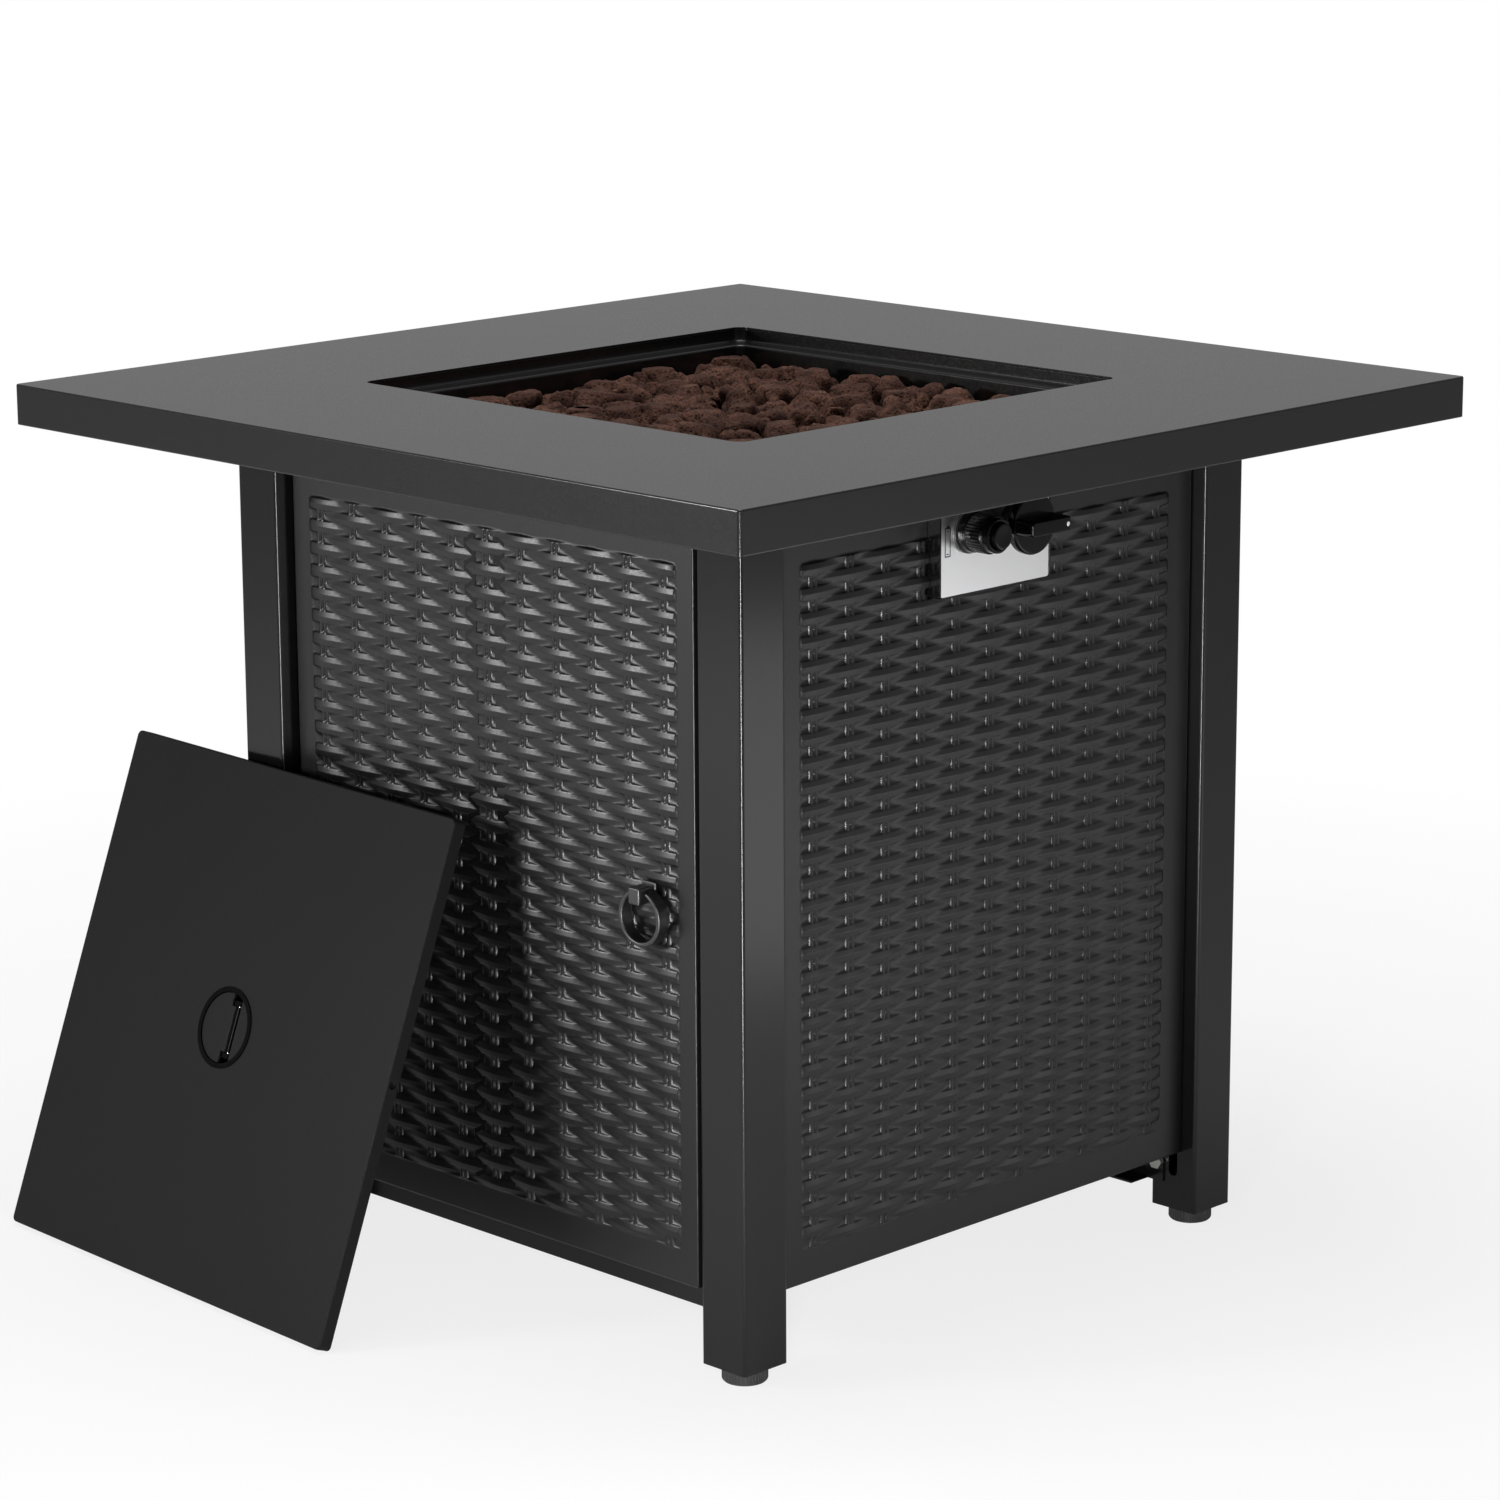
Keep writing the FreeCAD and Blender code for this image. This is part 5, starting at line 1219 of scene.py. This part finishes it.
@dataclass
class Controls:
    """The knob, the igniter and the marks on the bright plate, which faces +X."""

    plate_front: float = 245.5
    knob_y: float = 5.7
    knob_z: float = 544.0
    knob_gap: float = 4.0
    knob_face: float = 269.0
    knob_base: float = 14.0
    knob_disc: float = 20.8
    grip_half: float = 19.2
    grip_width: float = 11.5
    grip_depth: float = 15.0
    igniter_y: float = -34.0
    igniter_z: float = 542.0
    cap_start: float = 248.0
    cap_radius: float = 12.8
    cap_bore: float = 11.2
    collar_front: float = 253.5
    cap_front: float = 267.0
    cap_ring: float = 12.0
    cap_ring_front: float = 273.2
    button_radius: float = 8.9
    button_front: float = 277.0
    button_step: float = 12.0
    button_length: float = 21.0
    ink: float = 0.06

    def on_plate(self, y: float, z: float) -> Matrix:
        """A frame on the plate: X runs towards +Y, Y up and Z out of the plate."""
        return facing((0, 1, 0), (1, 0, 0), (0.0, y, z))

    def build_knob(self) -> None:
        """The knob: a conical skirt, a disc and a bar grip with its white dot."""
        place = self.on_plate(self.knob_y, self.knob_z)
        start, base = self.plate_front + self.knob_gap, self.knob_base
        face, disc = self.knob_face, self.knob_disc
        shape = Shape(place)
        shape.turned([(start, 0.0), (start, base - 0.8), (start + 0.8, base), (face - 8.4, 18.0),
                      (face - 6.4, disc - 0.2), (face - 5.8, disc), (face - 1.6, disc),
                      (face - 0.5, disc - 0.6), (face, disc - 1.8), (face - 0.2, 0.0)], 64)
        u, v = self.grip_half, self.grip_width / 2
        tip = face + self.grip_depth
        shape.sheet([Fold(u - 2, v, 2.4, face - 3), Fold(u, v, 2.6, face - 1),
                     Fold(u, v - 0.6, 2.6, tip, 2.2), Fold(u - 5, v - 4.2, 0.6, tip)], closed=False)
        dress(shape.build("control_knob_moulded"), KNOB_PLASTIC, "knob", "knob_plastic", "control_knob")
        dot = Shape(place @ Matrix.Translation(Vector((u - 3.6, 0.0, tip))))
        dot.turned([(-0.6, 0.0), (-0.6, 1.5), (0.02, 1.5), (0.1, 1.2), (0.12, 0.0)], 24)
        dress(dot.build("knob_dot"), WHITE_MARK, "knob", "knob_plastic")

    def build_cap(self) -> None:
        """The igniter's cap: a collar, a ribbed barrel and a narrower ring round the button."""
        place = self.on_plate(self.igniter_y, self.igniter_z)
        r, ring, hollow = self.cap_radius, self.cap_ring, self.cap_bore
        bore = self.button_radius + 0.15
        start, collar = self.cap_start, self.collar_front
        front, ring_front = self.cap_front, self.cap_ring_front
        shape = Shape(place)
        shape.turned([(start, hollow), (start, r + 0.6), (start + 0.6, r + 1.1), (collar - 0.8, r + 1.0),
                      (collar, r + 0.5), (collar + 0.3, r), (front - 0.8, r), (front - 0.2, r - 0.5),
                      (front + 0.6, ring - 0.4), (front + 1.2, ring), (ring_front - 1.3, ring),
                      (ring_front - 0.5, ring - 0.25), (ring_front - 0.1, ring - 0.9),
                      (ring_front, ring - 1.3), (ring_front - 0.1, bore + 0.7),
                      (ring_front - 0.8, bore + 0.3), (ring_front - 2.2, bore),
                      (front - 6.0, bore), (front - 6.0, hollow)], 64, closed=True)
        dress(shape.build("igniter_cap_moulded"), KNOB_PLASTIC, "igniter_cap", "knob_plastic", "igniter_cap")
        ribs = Ribs(36, r - 0.2, 0.7, collar + 0.5, front - 0.6)
        piece = ribs.build("igniter_cap_ribs", place, KNOB_PLASTIC)
        dress(piece, KNOB_PLASTIC, "igniter_cap", "knob_plastic")

    def build_button(self) -> None:
        """The push button: a slightly domed face with a rounded rim."""
        shape = Shape(self.on_plate(self.igniter_y, self.igniter_z))
        r, front = self.button_radius, self.button_front
        back, step = front - self.button_length, front - self.button_step
        shape.turned([(back, 0.0), (back, r - 1.5), (step, r - 1.5), (step, r), (front - 1.3, r),
                      (front - 0.4, r - 0.4), (front - 0.05, r - 1.2), (front - 0.25, r - 2.6),
                      (front - 0.35, 0.0)], 64)
        dress(shape.build("igniter_button_moulded"), KNOB_PLASTIC, "igniter_button", "knob_plastic",
              "igniter_button")

    def build_marks(self) -> None:
        """Two plain signs in black ink: a spark and a battery."""
        shape = Shape(facing((0, 1, 0), (1, 0, 0)))
        bolt = [(0.9, 3.0), (-1.9, -0.5), (-0.2, -0.3), (-1.0, -3.2), (1.9, 0.7), (0.2, 0.5)]
        self.inked(shape, [(y - 54.0, z + 556.5) for y, z in bolt])
        low, high, left, right = 527.0, 546.5, -56.8, -51.4
        line, cap = 0.65, 1.6
        for y0, y1, z0, z1 in ((left, right, low, low + line), (left, right, high - line, high),
                               (left, left + line, low, high), (right - line, right, low, high),
                               (left + cap, right - cap, high, high + 1.1),
                               (left + cap, right - cap, low + 1.6, low + 2.2),
                               (left + cap, right - cap, high - 2.6, high - 2.0)):
            self.inked(shape, [(y0, z0), (y1, z0), (y1, z1), (y0, z1)])
        dress(shape.build("plate_marks"), PLATE_INK, "table", "knob_plastic")

    def inked(self, shape: Shape, outline: Sequence[Pair]) -> None:
        """Add a thin inked figure on the plate, from (y, z) corners."""
        level = self.plate_front + 0.02
        shape.loft([[(y, z, height) for y, z in outline] for height in (level, level + self.ink)])

    def build(self) -> None:
        """Make all controls."""
        self.build_knob()
        self.build_cap()
        self.build_button()
        self.build_marks()


@dataclass
class RingPull:
    """The door's ring pull: its bracket and the ring that hangs from a bar in it."""

    x: float = 152.0
    axis_z: float = 320.0
    axis_y: float = -243.0
    ring_z: float = 303.0
    radius: float = 19.5
    wall: float = 3.5
    width: float = 10.0
    face: float = -236.5
    reach: float = 16.0
    gap_half: float = 6.9
    bar_half: float = 6.8
    bar_radius: float = 2.0
    stations: int = 60

    def build_bracket(self) -> None:
        """Make and dress the bracket."""
        bracket = Shape()
        bracket.block((10.0, self.reach, 11.0), (self.x, self.face - self.reach / 2, 318.5), 1.0)
        bracket.block((13.0, 2.2, 17.0), (self.x, self.face - 1.1, 317.5), 0.8)
        dress(bracket.build("ring_pull_block"), HANDLE_COAT, "door", "handle_coat", "ring_pull_bracket")

    def build_ring(self) -> None:
        """Make and dress the open ring and the bar across its gap."""
        ring = Shape(facing((1, 0, 0), (0, -1, 0), (self.x, self.axis_y, self.ring_z)))
        gap = math.degrees(math.asin(self.gap_half / self.radius))
        section = rounded_rectangle(self.wall / 2, self.width / 2, 1.4, 0.0, 4)
        middle = self.radius - self.wall / 2
        rings = []
        for k in range(self.stations + 1):
            angle = math.radians(90 + gap + (360 - 2 * gap) * k / self.stations)
            rings.append([((middle + u) * math.cos(angle), (middle + u) * math.sin(angle), v)
                          for u, v, _ in section])
        ring.loft(rings)
        ring.place = facing((0, 0, 1), (1, 0, 0), (self.x, self.axis_y, self.axis_z))
        bar, radius = self.bar_half, self.bar_radius
        ring.turned([(-bar, 0.0), (-bar, radius), (bar, radius), (bar, 0.0)], 24)
        dress(ring.build("pull_ring_cast"), HANDLE_COAT, "door_ring", "handle_coat", "pull_ring")

    def build(self) -> None:
        """Make both."""
        self.build_bracket()
        self.build_ring()


@dataclass
class Lid:
    """The pan-shaped lid, its round recessed cup, the flap on its pin, leaning on the leg."""

    side: float = 366.0
    depth: float = 10.0
    sheet: float = 1.2
    corner: float = 4.0
    bend: float = 1.6
    origin: Pair = (-372.0, -376.4)
    yaw: float = -2.99
    lean: float = 20.05
    hole: float = 2.75
    cup_wall: float = 26.0
    hollow: float = 25.2
    axis: float = 7.5
    axis_depth: float = 3.2
    barrel: float = 1.9
    barrel_half: float = 16.3
    plate: float = 2.2
    plate_edge: float = 5.7
    notch_edge: float = 1.1
    land_edge: float = 12.2
    broken_edge: float = 0.35

    def place(self) -> Matrix:
        """The lid's frame: X across, Y up its face, Z out of its face, from the face's middle."""
        lean = math.radians(self.lean)
        base = Matrix.Translation(Vector((*self.origin, self.depth * math.sin(lean))))
        turned = base @ Matrix.Rotation(math.radians(self.yaw), 4, "Z") @ Matrix.Rotation(-lean, 4, "X")
        middle = Matrix.Translation(Vector((self.side / 2, 0.0, self.side / 2)))
        return turned @ middle @ Matrix.Rotation(math.radians(90), 4, "X")

    def build_panel(self) -> None:
        """The lid's sheet, with the cup's hole and the small hole in its right edge."""
        half, t, around = self.side / 2, self.sheet, self.cup_wall + 6
        rings = sheet_rings([
            square(around, around - 0.1, -t),
            square(half - t, self.corner - t, -t, 0.5),
            square(half - t, self.corner - t, -self.depth),
            square(half, self.corner, -self.depth),
            square(half, self.corner, 0.0, self.bend),
            square(around, around - 0.1, 0.0),
        ], False, 5, 12)
        angles = [math.atan2(v, u) for u, v, _ in rings[0]]
        hole = [(math.cos(a) * self.cup_wall, math.sin(a) * self.cup_wall) for a in angles]
        shape = Shape(self.place())
        shape.loft([[(u, v, -t) for u, v in hole], *rings, [(u, v, 0.0) for u, v in hole]], closed=True)
        drill = Shape(self.place() @ facing((0, 1, 0), (1, 0, 0), (half, 0.0, -self.depth / 2)))
        drill.turned([(-4.0, 0.0), (-4.0, self.hole), (4.0, self.hole), (4.0, 0.0)], 24)
        piece = cut_out(shape.build("lid_folded"), drill)
        dress(piece, LID_COAT, "lid", "lid_coat", "lid_panel")

    def arc(self, edge: float, side: int, steps: int = 40) -> list[Pair]:
        """The part of the cup's hollow on one side of an upright line.

        Args:
            edge: the line's place across the lid.
            side: 1 for the part to its right and -1 for the part to its left.
            steps: the pieces of the arc.

        Returns:
            The arc's points, anticlockwise.
        """
        radius = self.hollow - 0.25
        reach = math.acos(side * edge / radius)
        start = 0.0 if side > 0 else math.pi
        return [(radius * math.cos(start + reach * share), radius * math.sin(start + reach * share))
                for share in (2 * k / steps - 1 for k in range(steps + 1))]

    def slab(self, outline: Sequence[Pair], top: float) -> Shape:
        """A flat piece in the lid's frame whose upper edge is broken."""
        edge = self.broken_edge
        count = len(outline)
        inner = []
        for k, corner in enumerate(outline):
            here = Vector(corner)
            one = (here - Vector(outline[k - 1])).normalized()
            other = (Vector(outline[(k + 1) % count]) - here).normalized()
            inner.append(here + Vector((-one.y - other.y, one.x + other.x)).normalized() * edge)
        levels = ((outline, top - self.plate), (outline, top - edge), (inner, top))
        shape = Shape(self.place())
        shape.loft([[(u, v, level) for u, v in ring] for ring, level in levels])
        return shape

    def build_handle(self) -> None:
        """The flap with its barrel, and the land that closes the cup's right side."""
        half, notch, edge = self.barrel_half, self.notch_edge, self.plate_edge
        flap = self.arc(notch, -1) + [(notch, -half), (edge, -half), (edge, half), (notch, half)]
        dress(self.slab(flap, 0.05).build("handle_flap_plate"), LID_COAT, "lid_flap", "handle_plastic",
              "lid_handle_flap")
        barrel = Shape(self.place() @ facing((1, 0, 0), (0, 1, 0), (self.axis, 0.0, -self.axis_depth)))
        barrel.turned([(-half, 0.0), (-half, self.barrel - 0.5), (0.5 - half, self.barrel),
                       (half - 0.5, self.barrel), (half, self.barrel - 0.5), (half, 0.0)], 32)
        # The barrel takes the near-black cup finish: painted shade that stands for the dark slot beside the
        # flap's straight edge.
        dress(barrel.build("handle_flap_barrel"), CUP_BLACK_AND_SHADE, "lid_flap", "handle_plastic")
        land = self.slab(self.arc(self.land_edge, 1), 0.0)
        dress(land.build("handle_cup_land"), LID_COAT, "lid", "handle_plastic")

    def build(self) -> None:
        """Make the lid and its handle."""
        self.build_panel()
        self.build_handle()


@dataclass
class LevellingFeet:
    """The gripping ribs round the four screwed feet."""

    place: float = 227.5
    radius: float = 15.0
    high: float = 11.0
    rib: float = 0.8
    count: int = 44

    def build(self) -> None:
        """Make and dress the ribs of every foot."""
        ribs = Ribs(self.count, self.radius - self.rib * 0.5, self.rib, 1.6, self.high - 1.2)
        for row, y in (("front", -1), ("rear", 1)):
            for side, x in (("left", -1), ("right", 1)):
                name = f"foot_{row}_{side}"
                spot = facing((1, 0, 0), (0, 0, 1), (x * self.place, y * self.place, 0.0))
                piece = ribs.build(name + "_ribs", spot, BLACK_PLASTIC)
                dress(piece, BLACK_PLASTIC, name, "foot_plastic")


def direction(azimuth: float, elevation: float) -> Vector:
    """The way from the table to a place, by its degrees round from the front and above the floor."""
    a, e = math.radians(azimuth), math.radians(elevation)
    return Vector((math.sin(a) * math.cos(e), -math.cos(a) * math.cos(e), math.sin(e)))


class Studio:
    """The plain floor, the soft lights, the white surroundings and the camera."""

    EYE = (2300.4, -2294.9, 1113.3)
    AZIMUTH = 44.97
    ELEVATION = 13.246
    ROLL = -0.3
    FOCUS = 4728.3
    PICTURE = 1500.0
    SENSOR = 36.0
    AMBIENT = 0.05
    FRONT_MIRRORED = 0.25
    BACK_MIRRORED = 0.39
    FLOOR_MIRRORED = 0.34
    FLOOR_REACH = 14.0
    LAMP_TARGET = 0.32

    def camera(self) -> None:
        """Set the camera up at the photograph's place and angle."""
        azimuth, roll = math.radians(self.AZIMUTH), math.radians(self.ROLL)
        back = direction(self.AZIMUTH, self.ELEVATION)
        level = Vector((math.cos(azimuth), math.sin(azimuth), 0.0))
        rise = back.cross(level)
        right = level * math.cos(roll) + rise * math.sin(roll)
        up = rise * math.cos(roll) - level * math.sin(roll)
        data = bpy.data.cameras.new("camera")
        data.lens = self.FOCUS / self.PICTURE * self.SENSOR
        data.sensor_width = self.SENSOR
        data.clip_end = 60.0
        seat = linked("camera", data)
        turn = Matrix((right, up, back)).transposed().to_4x4()
        seat.matrix_world = Matrix.Translation((Vector(self.EYE) + CENTRE) * MM) @ turn
        bpy.context.scene.camera = seat

    def lamp(self, name: str, azimuth: float, elevation: float, distance: float, size: Pair,
             power: float) -> None:
        """Add a soft rectangular lamp that points at the table.

        Args:
            name: the lamp's name.
            azimuth: its direction round the table, in degrees, as the camera's is measured.
            elevation: its direction above the floor.
            distance: how far it stands, in metres.
            size: its width and height, in metres.
            power: its power in watts.
        """
        back = direction(azimuth, elevation)
        data = bpy.data.lights.new(name, "AREA")
        data.shape = "RECTANGLE"
        data.size, data.size_y = size
        data.energy = power
        target = CENTRE * MM + Vector((0.0, 0.0, self.LAMP_TARGET))
        turn = back.to_track_quat("Z", "Y").to_matrix().to_4x4()
        linked(name, data).matrix_world = Matrix.Translation(target + back * distance) @ turn

    def lamps(self) -> None:
        """A low one left of the front, a strip before the near leg, one overhead, two at the right."""
        self.lamp("left_softbox", -28.0, 11.0, 2.6, (0.5, 0.4), 30.0)
        self.lamp("near_strip", 44.0, -5.0, 1.12, (0.09, 0.44), 9.5)
        self.lamp("top_softbox", 0.0, 88.0, 2.4, (1.6, 1.6), 48.0)
        self.lamp("right_card", 116.0, -9.0, 1.06, (0.36, 0.3), 0.52)
        self.lamp("right_softbox", 108.0, 3.0, 2.6, (0.35, 0.5), 0.4)

    def seen(self, graph: Graph, mirrored: Term | float) -> Term:
        """How white the surroundings are.

        Args:
            graph: the node tree.
            mirrored: their share in a reflection.

        Returns:
            One where they are looked at, and the given share in a reflection.
        """
        path = graph.node("ShaderNodeLightPath")
        camera, gloss, clear = (Term(graph, path.outputs[name]) for name in
                                ("Is Camera Ray", "Is Glossy Ray", "Is Transmission Ray"))
        return graph.maths("MAXIMUM", camera, graph.maths("MAXIMUM", gloss * mirrored, clear))

    def surroundings(self) -> None:
        """A white world that gives little light of its own."""
        world = bpy.data.worlds.new("surroundings")
        bpy.context.scene.world = world
        graph = emptied(world)
        heading = graph.node("ShaderNodeTexCoord").outputs["Generated"]
        away = (-math.sin(math.radians(self.AZIMUTH)), math.cos(math.radians(self.AZIMUTH)), 0.0)
        behind = graph.node("ShaderNodeVectorMath", {0: heading, 1: away}, operation="DOT_PRODUCT")
        mirrored = graph.spread(behind.outputs["Value"], self.FRONT_MIRRORED, self.BACK_MIRRORED, 0.0, 0.6)
        strength = graph.spread(self.seen(graph, mirrored), self.AMBIENT, 1.0)
        light = graph.term("ShaderNodeBackground", {"Color": grey(1.0), "Strength": strength})
        graph.node("ShaderNodeOutputWorld", {0: light})

    def floor(self) -> None:
        """A wide pale floor that keeps the table's soft shadow."""
        mesh = bpy.data.meshes.new("floor")
        corners = [(x * self.FLOOR_REACH, y * self.FLOOR_REACH, 0.0)
                   for x, y in ((-1, -1), (1, -1), (1, 1), (-1, 1))]
        mesh.from_pydata(corners, [], [(0, 1, 2, 3)])
        slab = linked("floor", mesh)
        made = bpy.data.materials.new("floor_paper")
        graph = emptied(made)
        place = graph.node("ShaderNodeTexCoord").outputs["Object"]
        tint = graph.between(graph.noise(place, 1.5), grey(0.8), grey(0.84))
        matt = graph.term("ShaderNodeBsdfDiffuse", {"Color": tint})
        glow = graph.term("ShaderNodeEmission", {"Color": grey(1.0), "Strength": 1.0})
        away = graph.node("ShaderNodeVectorMath", {0: place}, operation="LENGTH").outputs["Value"]
        share = self.seen(graph, self.FLOOR_MIRRORED) * graph.spread(away, 0.8, 1.0, 0.45, 1.5)
        mixed = graph.term("ShaderNodeMixShader", {0: share, 1: matt, 2: glow})
        graph.node("ShaderNodeOutputMaterial", {"Surface": mixed})
        mesh.materials.append(made)

    def build(self) -> None:
        """Set everything up."""
        self.camera()
        self.lamps()
        self.surroundings()
        self.floor()
        bpy.context.scene.view_settings.view_transform = "Standard"


def dress_frame() -> None:
    """Give every carried-over node the finish of its slot."""
    for part in frame["record"]["subparts"]:
        node = frame["nodes"][part["node"]]
        material = SLOT_FINISHES[part["material_slot"]].material()
        for slot in node.material_slots:
            slot.material = material


def main() -> None:
    """Build the pieces in order, then the studio."""
    logging.basicConfig(level=logging.INFO, format="%(message)s")
    dress_frame()
    Cabinet().build()
    TableTop().build()
    FireBowl().build()
    LavaBed().build()
    Controls().build()
    RingPull().build()
    Lid().build()
    LevellingFeet().build()
    Studio().build()


if __name__ == "__main__":
    main()
